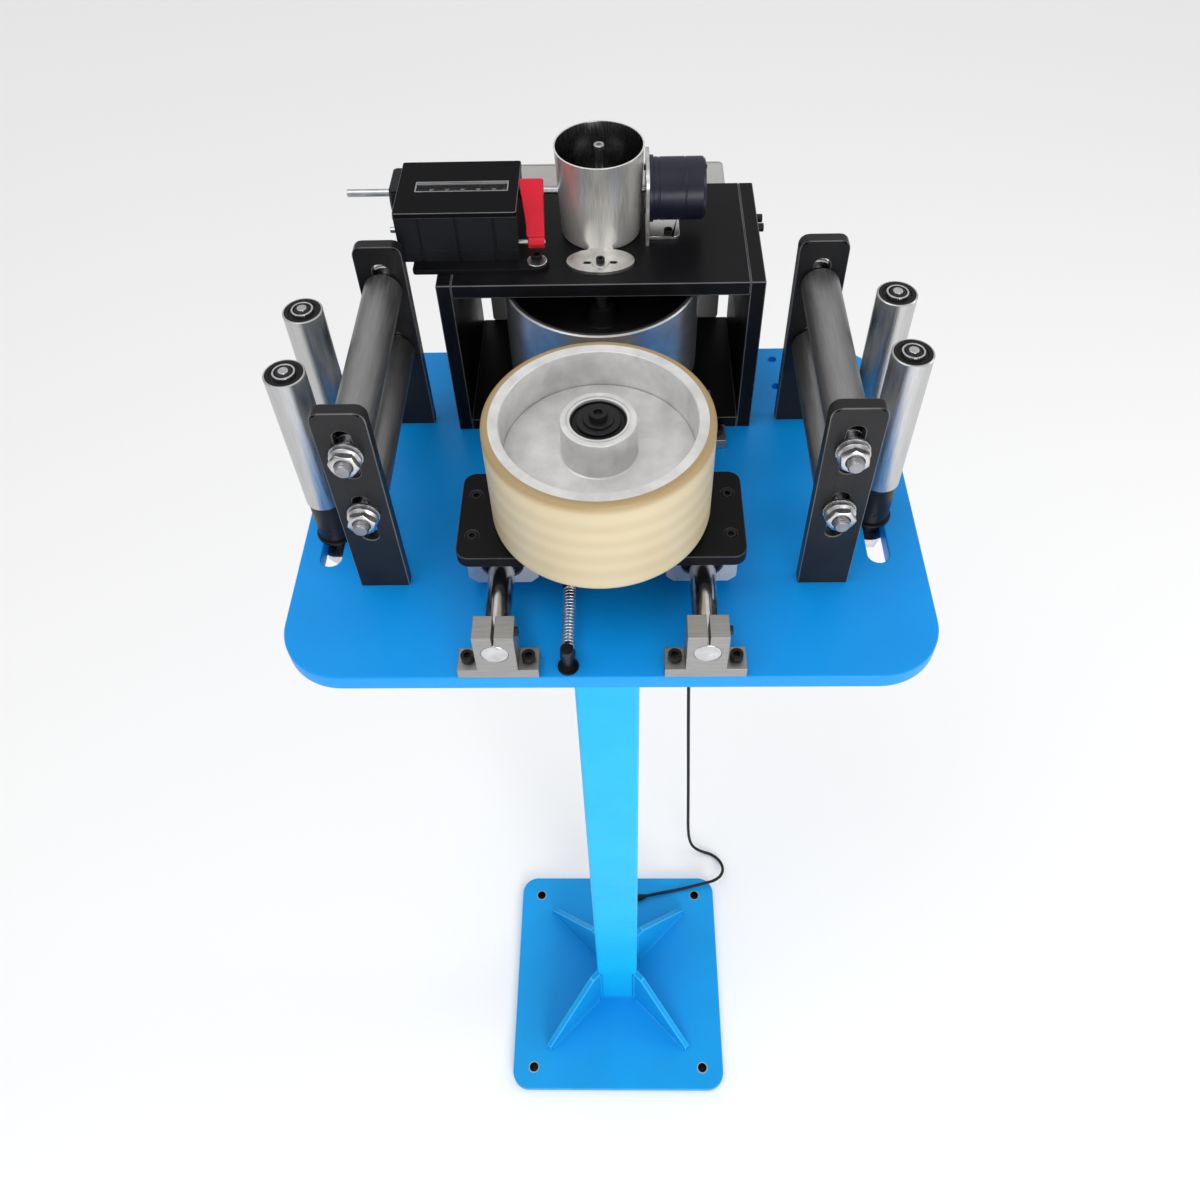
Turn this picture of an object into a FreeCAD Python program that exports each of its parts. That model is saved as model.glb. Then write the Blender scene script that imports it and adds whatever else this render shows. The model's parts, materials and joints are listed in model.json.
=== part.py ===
import FreeCAD, Part
import math
import os

# Cable length counter on a column stand.
# The origin is on the floor under the middle of the column.
# X runs to the right as the operator sees it, Y away from the operator, Z up.
# The machine stands on a table plate whose upper face is called the deck.
# Heights named lift are measured from the deck, and depths named offset from
# the middle of the table plate, which lies behind the column.

Vector = FreeCAD.Vector
RIGHT = Vector(1, 0, 0)
BACK = Vector(0, 1, 0)
UP = Vector(0, 0, 1)

# Overall layout
deck_height = 1130.0
column_to_middle = 60.0
running_clearance = 0.04
end_play = 0.3
overrun = 1.0
screw_size = 6.0
socket_width_share = 0.8
socket_depth_share = 0.6
parallel_share = 0.999

# Base plate
base_width = 325.0
base_depth = 330.0
base_thickness = 12.0
base_corner = 25.0
anchor_spacing_x = 261.0
anchor_spacing_y = 270.0
anchor_hole = 14.0

# Column with its gussets and head flange
column_side = 60.0
column_wall = 4.0
column_corner = 5.0
gusset_reach = 110.0
gusset_height = 116.0
gusset_thickness = 8.0
gusset_edge = 12.0
head_side = 150.0
head_thickness = 8.0
head_corner = 12.0
head_bolt_spacing = 112.0
head_bolt = 10.0
head_bolt_head = 16.0
head_bolt_depth = 12.0

# Table plate
plate_width = 500.0
plate_depth = 365.0
plate_thickness = 15.0
plate_corner = 50.0
plate_to_right = 5.0
spare_hole = 7.0
spare_hole_x = 157.0
spare_hole_rear_offset = 166.5
spare_hole_front_offset = 129.5

# Uprights that carry the horizontal rollers
upright_x = 171.5
upright_width = 38.5
upright_thickness = 10.0
upright_height = 187.0
upright_corner = 8.0
upright_gap = 172.0
upright_gap_offset = -1.0
upright_bolt = 6.0
upright_bolt_head = 10.0
upright_bolt_depth = 12.0
upright_bolt_spacing = 22.0

# Guide rollers, all alike but for their length
roller_diameter = 30.0
roller_wall = 3.0
axle_diameter = 12.0
roller_bearing_width = 6.0
roller_end_gap = 2.0
thrust_collar = 17.0
axle_slot_clearance = 0.3
upper_roller_lift = 149.0
upper_slot_bottom = 125.0
upper_slot_top = 171.0
lower_roller_lift = 88.0
lower_slot_bottom = 57.0
lower_slot_top = 106.0
nut_across_flats = 19.0
nut_thickness = 10.0
washer_diameter = 24.0
washer_thickness = 2.5
axle_end_length = 5.0

# Posts of the standing rollers
post_x = 220.0
post_slot_width = 17.0
post_slot_length = 154.0
post_foot = 16.0
post_collar = 28.0
post_collar_height = 40.0
post_washer = 32.0
post_washer_thickness = 2.0
post_nut_across_flats = 24.0
post_nut_thickness = 13.0
post_roller_length = 130.0
left_front_post_offset = -40.0
left_rear_post_offset = 29.0
right_front_post_offset = -26.0
right_rear_post_offset = 40.0

# Guide shafts and their supports
guide_spacing = 152.0
guide_diameter = 20.0
guide_lift = 31.0
support_width = 60.0
support_depth = 20.0
support_foot = 10.0
support_block = 30.0
support_height = 51.0
support_slit = 2.0
support_screw_spacing = 45.0
support_screw_grip = 12.0
support_screw_head = 10.0
support_screw_head_height = 6.0
rear_support_back_offset = 70.0

# Sliding carriage
carriage_offset = -77.0
carriage_width = 214.0
carriage_depth = 85.0
carriage_thickness = 10.0
carriage_corner = 10.0
block_width = 54.0
block_depth = 50.0
block_height = 42.0
block_chamfer = 6.0
sleeve_diameter = 32.0
sleeve_length = 42.0
block_screw = 5.0
block_screw_spacing = 40.0
block_screw_grip = 12.0
block_screw_head = 8.5
block_screw_head_height = 5.0
block_screw_seat = 9.5

# Press wheel
press_axis_ahead = 7.0
press_radius = 82.0
press_height = 89.0
press_lift = 66.0
tyre_thickness = 5.3
tyre_rounding = 4.0
rim_wall = 7.5
web_above_rim_bottom = 32.0
web_thickness = 25.0
boss_radius = 27.0
boss_above_rim_bottom = 6.0
boss_height = 82.0
journal_diameter = 17.0
journal_bearing_diameter = 40.0
journal_bearing_width = 12.0
journal_bearing_recess = 2.0
journal_shoulder = 2.5
axle_collar = 26.0
axle_thread_depth = 8.0
axle_nut_across_flats = 24.0
axle_washer = 22.0
axle_washer_thickness = 2.0
axle_screw = 8.0
axle_screw_head = 13.0
axle_screw_head_height = 8.0
axle_screw_grip = 20.0

# Spring between the front post and the carriage
spring_x = -25.0
spring_lift = 12.0
spring_outer = 10.6
spring_wire = 1.2
spring_turns = 20
spring_front_post_offset = -173.0
spring_rear_post_offset = -104.0
spring_post = 8.0
spring_seat = 11.6
spring_seat_thickness = 1.6
spring_peg = 5.6
spring_peg_length = 7.0
spring_post_head = 10.0
spring_post_head_height = 5.0
spring_post_washer = 16.0
spring_post_washer_thickness = 1.5
spring_post_height = 19.0
spring_post_foot_gap = 2.0
spring_samples_per_turn = 40
spring_samples_apart = 12
nearly_zero = 1e-9

# Wheel frame
frame_half_width = 129.0
frame_side = 12.0
frame_plate = 12.0
frame_front_offset = 77.0
frame_back_offset = 215.0
frame_height = 156.0
frame_screw_head = 7.0
frame_screw_head_height = 5.0
frame_screw_offset = 158.0
frame_screw_spacing = 13.0

# Measuring wheel and its spindle
measuring_circumference = 500.0
measuring_offset = 110.6
measuring_below_frame = 100.0
measuring_height = 86.0
measuring_rim = 4.0
measuring_web_height = 28.0
measuring_web = 12.0
measuring_hub_radius = 14.0
measuring_hub_top_radius = 9.5
measuring_hub_height = 16.0
spindle_diameter = 12.0
spindle_shoulder = 18.0
spindle_bearing_diameter = 28.0
spindle_bearing_width = 8.0

# Gears between the spindle and the upright shaft
gear_module = 1.35
spindle_teeth = 20
layshaft_teeth = 40
gear_face = 8.0
gear_below_frame = 28.0
gear_addendum_share = 0.85
gear_dedendum_share = 1.15
gear_root_share = 0.48
gear_tip_share = 0.2
layshaft_diameter = 6.0
layshaft_collar = 12.0
layshaft_collar_height = 5.0
bush_diameter = 10.0

# Bevel gears in the cup
bevel_teeth = 24
bevel_radius = 15.0
bevel_above_frame = 36.0
bevel_tip = 1.0
bevel_root = 1.5
bevel_inner_share = 0.65
bevel_root_share = 0.46
bevel_tip_share = 0.2
bevel_hub_radius = 7.0
bevel_hub_length = 7.0
bevel_end_gap = 5.0

# Cup round the bevel gears
cup_base_radius = 32.0
cup_rim_radius = 35.0
cup_wall = 1.2
cup_height = 75.0
cup_floor = 2.0
cup_shaft_hole = 9.0
cup_ear_half_width = 27.0
cup_ear_front_offset = 90.8
cup_ear_thickness = 3.0
cup_ear_corner = 8.0
cup_screw_offset = 101.0
cup_slot_spacing = 26.0
cup_slot_width = 4.0
cup_slot_length = 9.0
cup_screw_head = 7.0
cup_screw_head_height = 4.0
layshaft_top_below_rim = 4.0

# Counter
counter_left = -158.0
counter_right = -63.0
counter_front_offset = 102.0
counter_back_offset = 174.0
counter_height = 45.0
counter_rounding = 3.0
counter_bulge = 7.0
counter_bulge_radius = 20.0
counter_room_left = -141.0
counter_room_right = -70.0
counter_room_front_offset = 125.0
counter_room_back_offset = 163.0
counter_floor = 16.0
counter_lid = 2.0
window_left = -143.0
window_right = -72.0
window_front_offset = 132.0
window_back_offset = 144.0
window_rebate = 1.0
window_thickness = 1.5
groove_depth = 1.0
groove_width = 1.6
groove_spacing = 29.0
groove_count = 3
counter_shaft_diameter = 6.0
counter_shaft_left = -202.0
number_count = 5
number_radius = 9.0
number_width = 11.0
number_pitch = 12.3
number_first_x = -82.9
number_axle_diameter = 4.0
number_axis_ahead = 13.0
number_gear_teeth = 20
number_gear_face = 3.0
number_gear_gap = 0.4
pinion_radius = 3.0
pinion_length = 7.0
pinion_shaft_diameter = 2.4
pinion_gap = 0.35
axle_seat_depth = 3.0

# Strip under the counter
strip_left = -148.0
strip_back_offset = 170.0
strip_front_offset = 92.0
strip_thickness = 4.0
strip_tongue_right = -41.0
strip_tongue_depth = 20.0
strip_screw_x = -50.0
strip_screw_washer = 14.0
strip_screw_washer_thickness = 1.2
strip_screw_head = 9.0
strip_screw_head_height = 6.0

# Reset lever
lever_hinge_offset = 111.0
lever_hinge_height = 12.0
lever_length = 47.0
lever_lean = 34.0
lever_thickness = 6.0
lever_base_width = 13.0
lever_top_width = 19.0
lever_eye_radius = 5.0
lever_pin_diameter = 4.0
lever_gap = 0.5
lever_rounding = 1.5

# Encoder
encoder_plate_left = 36.0
encoder_plate_thickness = 3.0
encoder_plate_half_width = 26.0
encoder_plate_height = 62.0
encoder_plate_corner = 12.0
encoder_foot_right = 64.0
encoder_foot_thickness = 3.0
encoder_foot_half_width = 17.0
encoder_foot_corner = 5.0
encoder_boss_radius = 25.5
encoder_boss_length = 3.0
encoder_radius = 24.0
encoder_right = 83.0
encoder_shaft_diameter = 6.0
encoder_shaft_depth = 24.0
encoder_hole_radius = 10.0
encoder_screw_x = 54.5
encoder_screw_offset = 138.5
encoder_screw_head = 7.0
encoder_screw_head_height = 4.0

# Junction box with its cable gland
box_half_width = 108.0
box_depth = 50.0
box_bottom = 10.0
box_below_frame = 9.0
box_wall = 2.5
box_lid = 3.0
box_corner = 4.0
gland_x = 98.0
gland_nut_across_flats = 19.0
gland_nut_height = 7.0
gland_body_radius = 7.5
gland_body_length = 12.0
gland_boot_radius = 5.5
gland_boot_length = 24.0

# Output cable, from the gland down to the floor and over the base plate
cable_diameter = 5.0
boot_lip = 1.0
arc_share = 0.45
plug_radius = 5.5
plug_length = 24.0
plug_collar_radius = 6.5
plug_collar_length = 10.0
plug_boot_length = 9.0

# Places worked out from the sizes above
middle_y = column_to_middle
deck = deck_height
guide_x = guide_spacing / 2
guide_z = deck + guide_lift
plate_front_y = middle_y - plate_depth / 2
plate_back_y = middle_y + plate_depth / 2
plate_left_x = plate_to_right - plate_width / 2
upright_front_inner_y = middle_y + upright_gap_offset - upright_gap / 2
upright_back_inner_y = middle_y + upright_gap_offset + upright_gap / 2
carriage_y = middle_y + carriage_offset
carriage_bottom = guide_z + block_height / 2
carriage_top = carriage_bottom + carriage_thickness
press_y = carriage_y + press_axis_ahead
press_bottom = deck + press_lift
frame_front_y = middle_y + frame_front_offset
frame_back_y = middle_y + frame_back_offset
frame_top_z = deck + frame_height
frame_inner_x = frame_half_width - frame_side
measuring_y = middle_y + measuring_offset
measuring_radius = measuring_circumference / (2 * math.pi)
measuring_lift = frame_height - measuring_below_frame
gear_lift = frame_height - gear_below_frame
spindle_gear_radius = gear_module * spindle_teeth / 2
layshaft_gear_radius = gear_module * layshaft_teeth / 2
layshaft_y = measuring_y + spindle_gear_radius + layshaft_gear_radius
bevel_z = frame_top_z + bevel_above_frame
number_y = layshaft_y - number_axis_ahead
counter_low_z = frame_top_z + strip_thickness
counter_high_z = counter_low_z + counter_height
cup_top = frame_top_z + cup_height


def box(x0, x1, y0, y1, z0, z1):
    """A block between two corners."""
    return Part.makeBox(x1 - x0, y1 - y0, z1 - z0, Vector(x0, y0, z0))


def rod(diameter, length, start, along):
    """A round bar of a given diameter."""
    return Part.makeCylinder(diameter / 2, length, start, along)


def tube(outer, inner, length, start, along):
    """A round bar with a bore, both given as diameters."""
    return rod(outer, length, start, along).cut(rod(inner, length, start, along))


def hexagon(across_flats, length, start, along, bore=0):
    """A nut: a six-sided prism, with a bore where one is given."""
    radius = across_flats / math.sqrt(3)
    side = Vector(along.y, along.z, along.x)
    other = along.cross(side)
    corners = []
    for k in range(7):
        angle = math.radians(60 * k)
        corners.append(start + side * (radius * math.cos(angle)) + other * (radius * math.sin(angle)))
    nut = Part.Face(Part.makePolygon(corners)).extrude(along * length)
    if bore:
        nut = nut.cut(rod(bore, length, start, along))
    return nut


def edges_along(shape, along):
    """The straight edges of a shape that run in one direction."""
    found = []
    for edge in shape.Edges:
        if len(edge.Vertexes) == 2:
            span = edge.Vertexes[1].Point - edge.Vertexes[0].Point
            if span.Length > 0 and abs(span.dot(along)) / span.Length > parallel_share:
                found.append(edge)
    return found


def rounded_box(x0, x1, y0, y1, z0, z1, radius, along=UP):
    """A block whose edges in one direction are rounded."""
    block = box(x0, x1, y0, y1, z0, z1)
    return block.makeFillet(radius, edges_along(block, along))


def rounded_top_box(x0, x1, y0, y1, z0, z1, radius, along):
    """A block whose two upper edges in one direction are rounded."""
    block = box(x0, x1, y0, y1, z0, z1)
    upper = [edge for edge in edges_along(block, along) if edge.CenterOfMass.z > (z0 + z1) / 2]
    return block.makeFillet(radius, upper)


def slot(width, length, centre, across, through, depth):
    """A long hole with round ends: it is length long in one direction."""
    run = (length - width) / 2
    ends = [centre - across * run, centre + across * run]
    side = across.cross(through) * (width / 2)
    corners = [ends[0] - side, ends[1] - side, ends[1] + side, ends[0] + side, ends[0] - side]
    cutter = Part.Face(Part.makePolygon(corners)).extrude(through * depth)
    for end in ends:
        cutter = cutter.fuse(rod(width, depth, end, through))
    return cutter.removeSplitter()


def turned(profile, foot):
    """A solid of revolution about an upright axis, from radius and height pairs."""
    points = [foot + Vector(radius, 0, height) for radius, height in profile]
    face = Part.Face(Part.makePolygon(points + points[:1]))
    return face.revolve(foot, UP, 360)


def join(shapes):
    """One solid from several that meet."""
    whole = shapes[0]
    for shape in shapes[1:]:
        whole = whole.fuse(shape)
    return whole.removeSplitter()


def cut_all(shape, cutters):
    """A shape with every cutter taken out of it."""
    for cutter in cutters:
        shape = shape.cut(cutter)
    return shape


def cap_screw(head, head_height, shank, shank_length, seat, along):
    """A socket screw: its head stands on the seat, and its shank runs the other way."""
    screw = rod(head, head_height, seat, along)
    socket_depth = head_height * socket_depth_share
    socket_foot = seat + along * (head_height - socket_depth)
    screw = screw.cut(hexagon(shank * socket_width_share, socket_depth, socket_foot, along))
    return screw.fuse(rod(shank, shank_length, seat - along * shank_length, along)).removeSplitter()


def toothed_outline(teeth, root, tip, root_share, tip_share, tooth_angle):
    """Points round a gear with straight-sided teeth, one of them at the given angle."""
    pitch = 2 * math.pi / teeth
    points = []
    for k in range(teeth):
        middle = tooth_angle + k * pitch
        corners = ((root, -root_share), (tip, -tip_share), (tip, tip_share), (root, root_share))
        for radius, share in corners:
            angle = middle + share * pitch / 2
            points.append((radius * math.cos(angle), radius * math.sin(angle)))
    return points


def placed_wire(points, centre, first, second, scale=1):
    """A closed wire from flat points, laid along two directions."""
    corners = [centre + first * (u * scale) + second * (v * scale) for u, v in points]
    return Part.makePolygon(corners + corners[:1])


def spur_gear(teeth, centre, first, second, tooth_angle, face, module):
    """A flat gear whose axis is the third direction."""
    radius = module * teeth / 2
    root = radius - gear_dedendum_share * module
    tip = radius + gear_addendum_share * module
    outline = toothed_outline(teeth, root, tip, gear_root_share, gear_tip_share, tooth_angle)
    along = first.cross(second)
    return Part.Face(placed_wire(outline, centre, first, second)).extrude(along * face)


def bevel_gear(axis, first, second, tooth_angle):
    """A bevel gear whose teeth narrow towards the point where the gear axes cross."""
    apex = Vector(0, layshaft_y, bevel_z)
    root = bevel_radius - bevel_root
    tip = bevel_radius + bevel_tip
    outline = toothed_outline(bevel_teeth, root, tip, bevel_root_share, bevel_tip_share, tooth_angle)
    outer = placed_wire(outline, apex + axis * bevel_radius, first, second)
    inner_centre = apex + axis * (bevel_radius * bevel_inner_share)
    inner = placed_wire(outline, inner_centre, first, second, bevel_inner_share)
    gear = Part.makeLoft([outer, inner], True, True)
    hub = rod(2 * bevel_hub_radius, bevel_hub_length, apex + axis * bevel_radius, axis)
    return gear.fuse(hub)


def write(name, solids):
    """Write one node, made of one or more separate solids."""
    shape = solids[0] if len(solids) == 1 else Part.makeCompound(solids)
    for solid in solids:
        if not solid.isValid() or len(solid.Solids) != 1:
            print("check", name, solid.isValid(), len(solid.Solids))
    shape.exportStep("parts/" + name + ".step")


def make_stand():
    """Base plate, column, gussets, head flange and table plate."""
    half_w = base_width / 2
    half_d = base_depth / 2
    base = rounded_box(-half_w, half_w, -half_d, half_d, 0, base_thickness, base_corner)
    for sx in (-1, 1):
        for sy in (-1, 1):
            at = Vector(sx * anchor_spacing_x / 2, sy * anchor_spacing_y / 2, 0)
            base = base.cut(rod(anchor_hole, base_thickness, at, UP))
    write("base_plate", [base])

    column_top = deck - plate_thickness - head_thickness
    half = column_side / 2
    inner = half - column_wall
    outside = rounded_box(-half, half, -half, half, base_thickness, column_top, column_corner)
    hollow = box(-inner, inner, -inner, inner, base_thickness, column_top)
    write("column", [outside.cut(hollow)])

    corner = half * math.sqrt(2) - column_corner
    reach = half * math.sqrt(2) + gusset_reach
    low = base_thickness
    high = base_thickness + gusset_height
    outline = [
        (corner, low),
        (reach, low),
        (reach, low + gusset_edge),
        (half * math.sqrt(2) + gusset_edge, high),
        (corner, high),
        (corner, low),
    ]
    face = Part.Face(Part.makePolygon([Vector(r, -gusset_thickness / 2, z) for r, z in outline]))
    plain = face.extrude(BACK * gusset_thickness)
    gussets = []
    for k in range(4):
        gusset = plain.copy()
        gusset.rotate(Vector(0, 0, 0), UP, 45 + 90 * k)
        gussets.append(gusset.cut(outside))
    write("base_gussets", gussets)

    half = head_side / 2
    head = rounded_box(-half, half, -half, half, column_top, column_top + head_thickness, head_corner)
    for at in head_bolt_places():
        head = head.cut(rod(head_bolt, head_thickness, at, UP))
    write("head_flange", [head])

    plate = rounded_box(
        plate_left_x, plate_left_x + plate_width, plate_front_y, plate_back_y,
        deck - plate_thickness, deck, plate_corner,
    )
    under = deck - plate_thickness
    cutters = []
    for offset in (spare_hole_rear_offset, spare_hole_front_offset):
        cutters.append(rod(spare_hole, plate_thickness, Vector(spare_hole_x, middle_y + offset, under), UP))
    for side in (-1, 1):
        centre = Vector(side * post_x, middle_y, under)
        cutters.append(slot(post_slot_width, post_slot_length, centre, BACK, UP, plate_thickness))
    for at in head_bolt_places():
        hole = rod(head_bolt, head_bolt_depth - head_thickness + overrun, at + UP * head_thickness, UP)
        cutters.append(hole)
    for x, y in upright_bolt_places():
        cutters.append(rod(upright_bolt, plate_thickness, Vector(x, y, under), UP))
    for x, y in support_screw_places():
        cutters.append(rod(screw_size, support_screw_grip, Vector(x, y, deck - support_screw_grip), UP))
    write("top_plate", [cut_all(plate, cutters)])


def head_bolt_places():
    """Where the head flange is bolted to the table plate, on the flange's lower face."""
    z = deck - plate_thickness - head_thickness
    half = head_bolt_spacing / 2
    return [Vector(sx * half, sy * half, z) for sx in (-1, 1) for sy in (-1, 1)]


def upright_faces():
    """The front face of the front upright and of the rear upright."""
    return [upright_front_inner_y - upright_thickness, upright_back_inner_y]


def upright_bolt_places():
    """Two bolts up into the foot of every upright."""
    places = []
    for side in (-1, 1):
        for front in upright_faces():
            for step in (-1, 1):
                x = side * upright_x + step * upright_bolt_spacing / 2
                places.append((x, front + upright_thickness / 2))
    return places


def support_centres():
    """Middle of each shaft support: two flush with the plate's front, two behind the carriage."""
    front = plate_front_y + support_depth / 2
    rear = middle_y + rear_support_back_offset - support_depth / 2
    return [(side * guide_x, y) for y in (front, rear) for side in (-1, 1)]


def support_screw_places():
    """Two screws through the foot of every shaft support."""
    places = []
    for x, y in support_centres():
        for step in (-1, 1):
            places.append((x + step * support_screw_spacing / 2, y))
    return places


def make_uprights():
    """Two slotted uprights on each side."""
    for name, side in (("left_uprights", -1), ("right_uprights", 1)):
        pair = []
        x = side * upright_x
        for front in upright_faces():
            upright = rounded_top_box(
                x - upright_width / 2, x + upright_width / 2, front, front + upright_thickness,
                deck, deck + upright_height, upright_corner, BACK,
            )
            width = axle_diameter + 2 * axle_slot_clearance
            for low, high in ((upper_slot_bottom, upper_slot_top), (lower_slot_bottom, lower_slot_top)):
                centre = Vector(x, front, deck + (low + high) / 2)
                upright = upright.cut(slot(width, high - low, centre, UP, BACK, upright_thickness))
            for step in (-1, 1):
                at = Vector(x + step * upright_bolt_spacing / 2, front + upright_thickness / 2, deck)
                upright = upright.cut(rod(upright_bolt, upright_bolt_depth, at, UP))
            pair.append(upright)
        write(name, pair)


def roller(start, along, length):
    """A tube that turns on two ball bearings."""
    inner = roller_diameter - 2 * roller_wall
    bore = axle_diameter + 2 * running_clearance
    shell = tube(roller_diameter, inner, length, start, along)
    near = tube(inner, bore, roller_bearing_width, start, along)
    far = tube(inner, bore, roller_bearing_width, start + along * (length - roller_bearing_width), along)
    return [shell, near, far]


def make_lying_roller(name, x, lift):
    """A horizontal roller and the threaded axle that clamps it between two uprights."""
    z = deck + lift
    start = Vector(x, upright_front_inner_y + roller_end_gap, z)
    write(name + "_roller", roller(start, BACK, upright_gap - 2 * roller_end_gap))

    front = upright_front_inner_y - upright_thickness
    back = upright_back_inner_y + upright_thickness
    end = washer_thickness + nut_thickness + axle_end_length
    length = back - front + 2 * end
    bar = rod(axle_diameter, length, Vector(x, front - end, z), BACK)
    collar = roller_end_gap - end_play
    solids = [bar]
    hole = axle_diameter
    solids.append(tube(thrust_collar, hole, collar, Vector(x, upright_front_inner_y, z), BACK))
    solids.append(tube(thrust_collar, hole, collar, Vector(x, upright_back_inner_y - collar, z), BACK))
    for face, along in ((front, BACK * -1), (back, BACK)):
        seat = Vector(x, face, z)
        solids.append(tube(washer_diameter, hole, washer_thickness, seat, along))
        solids.append(hexagon(nut_across_flats, nut_thickness, seat + along * washer_thickness, along, hole))
    write(name + "_axle", solids)


def make_standing_roller(name, x, offset):
    """A standing roller on a post whose foot is clamped in the plate's long slot."""
    y = middle_y + offset
    collar_top = post_washer_thickness + post_collar_height
    start = Vector(x, y, deck + collar_top + end_play)
    write(name + "_roller", roller(start, UP, post_roller_length))

    under = deck - plate_thickness
    foot_end = under - post_washer_thickness - post_nut_thickness - axle_end_length
    top = start.z + post_roller_length + end_play
    post = join([
        rod(post_foot, deck + post_washer_thickness - foot_end, Vector(x, y, foot_end), UP),
        rod(post_collar, post_collar_height, Vector(x, y, deck + post_washer_thickness), UP),
        rod(axle_diameter, top + roller_end_gap - deck - collar_top, Vector(x, y, deck + collar_top), UP),
    ])
    cap = tube(thrust_collar, axle_diameter, roller_end_gap, Vector(x, y, top), UP)
    upper = tube(post_washer, post_foot, post_washer_thickness, Vector(x, y, deck), UP)
    lower_seat = Vector(x, y, under)
    lower = tube(post_washer, post_foot, post_washer_thickness, lower_seat, UP * -1)
    nut_seat = lower_seat - UP * post_washer_thickness
    nut = hexagon(post_nut_across_flats, post_nut_thickness, nut_seat, UP * -1, post_foot)
    write(name + "_post", [post, cap, upper, lower, nut])


def make_guides():
    """Shaft supports, guide shafts and everything that slides on them."""
    supports = []
    for x, y in support_centres():
        front = y - support_depth / 2
        back = y + support_depth / 2
        foot = box(x - support_width / 2, x + support_width / 2, front, back, deck, deck + support_foot)
        top = deck + support_height
        block = box(x - support_block / 2, x + support_block / 2, front, back, deck, top)
        support = join([foot, block])
        start = Vector(x, front, guide_z)
        cutters = [rod(guide_diameter, support_depth, start, BACK)]
        half = support_slit / 2
        cutters.append(box(x - half, x + half, front, back, guide_z, top))
        for step in (-1, 1):
            at = Vector(x + step * support_screw_spacing / 2, y, deck)
            cutters.append(rod(screw_size, support_foot, at, UP))
        supports.append(cut_all(support, cutters))
    write("shaft_supports", supports)

    length = rear_support_back_offset + plate_depth / 2
    shafts = []
    for side in (-1, 1):
        shafts.append(rod(guide_diameter, length, Vector(side * guide_x, plate_front_y, guide_z), BACK))
    write("guide_shafts", shafts)

    blocks = []
    sleeves = []
    for side in (-1, 1):
        x = side * guide_x
        front = carriage_y - block_depth / 2
        block = box(
            x - block_width / 2, x + block_width / 2, front, front + block_depth,
            guide_z - block_height / 2, carriage_bottom,
        )
        low = [edge for edge in edges_along(block, BACK) if edge.CenterOfMass.z < guide_z]
        block = block.makeChamfer(block_chamfer, low)
        block = block.cut(rod(sleeve_diameter, block_depth, Vector(x, front, guide_z), BACK))
        for sx in (-1, 1):
            for sy in (-1, 1):
                screw_x = x + sx * block_screw_spacing / 2
                screw_y = carriage_y + sy * block_screw_spacing / 2
                at = Vector(screw_x, screw_y, carriage_bottom)
                block = block.cut(rod(block_screw, block_screw_grip, at, UP * -1))
        blocks.append(block)
        start = Vector(x, carriage_y - sleeve_length / 2, guide_z)
        bore = guide_diameter + 2 * running_clearance
        sleeves.append(tube(sleeve_diameter, bore, sleeve_length, start, BACK))
    write("bearing_blocks", blocks)
    write("linear_bearings", sleeves)


def make_carriage():
    """The plate that carries the press wheel, with its screws and axle."""
    half = carriage_width / 2
    front = carriage_y - carriage_depth / 2
    plate = rounded_box(
        -half, half, front, front + carriage_depth, carriage_bottom, carriage_top, carriage_corner
    )
    screws = []
    seat = carriage_top - block_screw_head_height
    grip = seat - carriage_bottom + block_screw_grip
    for side in (-1, 1):
        for sx in (-1, 1):
            for sy in (-1, 1):
                x = side * guide_x + sx * block_screw_spacing / 2
                y = carriage_y + sy * block_screw_spacing / 2
                plate = plate.cut(rod(block_screw, carriage_thickness, Vector(x, y, carriage_bottom), UP))
                plate = plate.cut(rod(block_screw_seat, block_screw_head_height, Vector(x, y, seat), UP))
                at = Vector(x, y, seat)
                head_height = block_screw_head_height
                screws.append(cap_screw(block_screw_head, head_height, block_screw, grip, at, UP))
    press_foot = Vector(0, press_y, carriage_bottom)
    bore = journal_diameter + 2 * running_clearance
    plate = plate.cut(rod(bore, carriage_thickness, press_foot, UP))
    anchor = Vector(spring_x, middle_y + spring_rear_post_offset, deck + spring_post_foot_gap)
    anchor_height = carriage_bottom - anchor.z
    anchor_post = rod(spring_post, anchor_height, anchor, UP)
    seat_start = Vector(spring_x, anchor.y - spring_seat_start(), deck + spring_lift)
    screws.append(spring_seat_on(anchor_post, seat_start, BACK * -1))
    write("carriage_plate", [plate])
    write("carriage_screws", screws)

    lower_bearing = press_bottom + boss_above_rim_bottom
    upper_end = lower_bearing + boss_height - journal_bearing_recess
    axle = join([
        rod(journal_diameter, upper_end - carriage_bottom + axle_thread_depth,
            Vector(0, press_y, carriage_bottom - axle_thread_depth), UP),
        rod(axle_collar, lower_bearing - end_play - carriage_top, Vector(0, press_y, carriage_top), UP),
    ])
    thread_start = Vector(0, press_y, upper_end - axle_screw_grip)
    axle = axle.cut(rod(axle_screw, axle_screw_grip, thread_start, UP))
    nut = hexagon(axle_nut_across_flats, axle_thread_depth, press_foot, UP * -1, journal_diameter)
    end = Vector(0, press_y, upper_end)
    washer = tube(axle_washer, axle_screw, axle_washer_thickness, end, UP)
    grip = axle_washer_thickness + axle_screw_grip
    screw_seat = end + UP * axle_washer_thickness
    screw = cap_screw(axle_screw_head, axle_screw_head_height, axle_screw, grip, screw_seat, UP)
    write("press_axle", [axle, nut, washer, screw])


def spring_seat_start():
    """How far a spring seat's face stands from its post's axis."""
    return spring_post / 2 + spring_seat_thickness


def spring_seat_on(post, face_centre, along):
    """A post with the round seat and the peg that hold one end of the spring."""
    depth = spring_seat_thickness + spring_post / 2
    disc = rod(spring_seat, depth, face_centre - along * depth, along)
    peg = rod(spring_peg, spring_peg_length, face_centre, along)
    return join([post, disc, peg])


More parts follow.
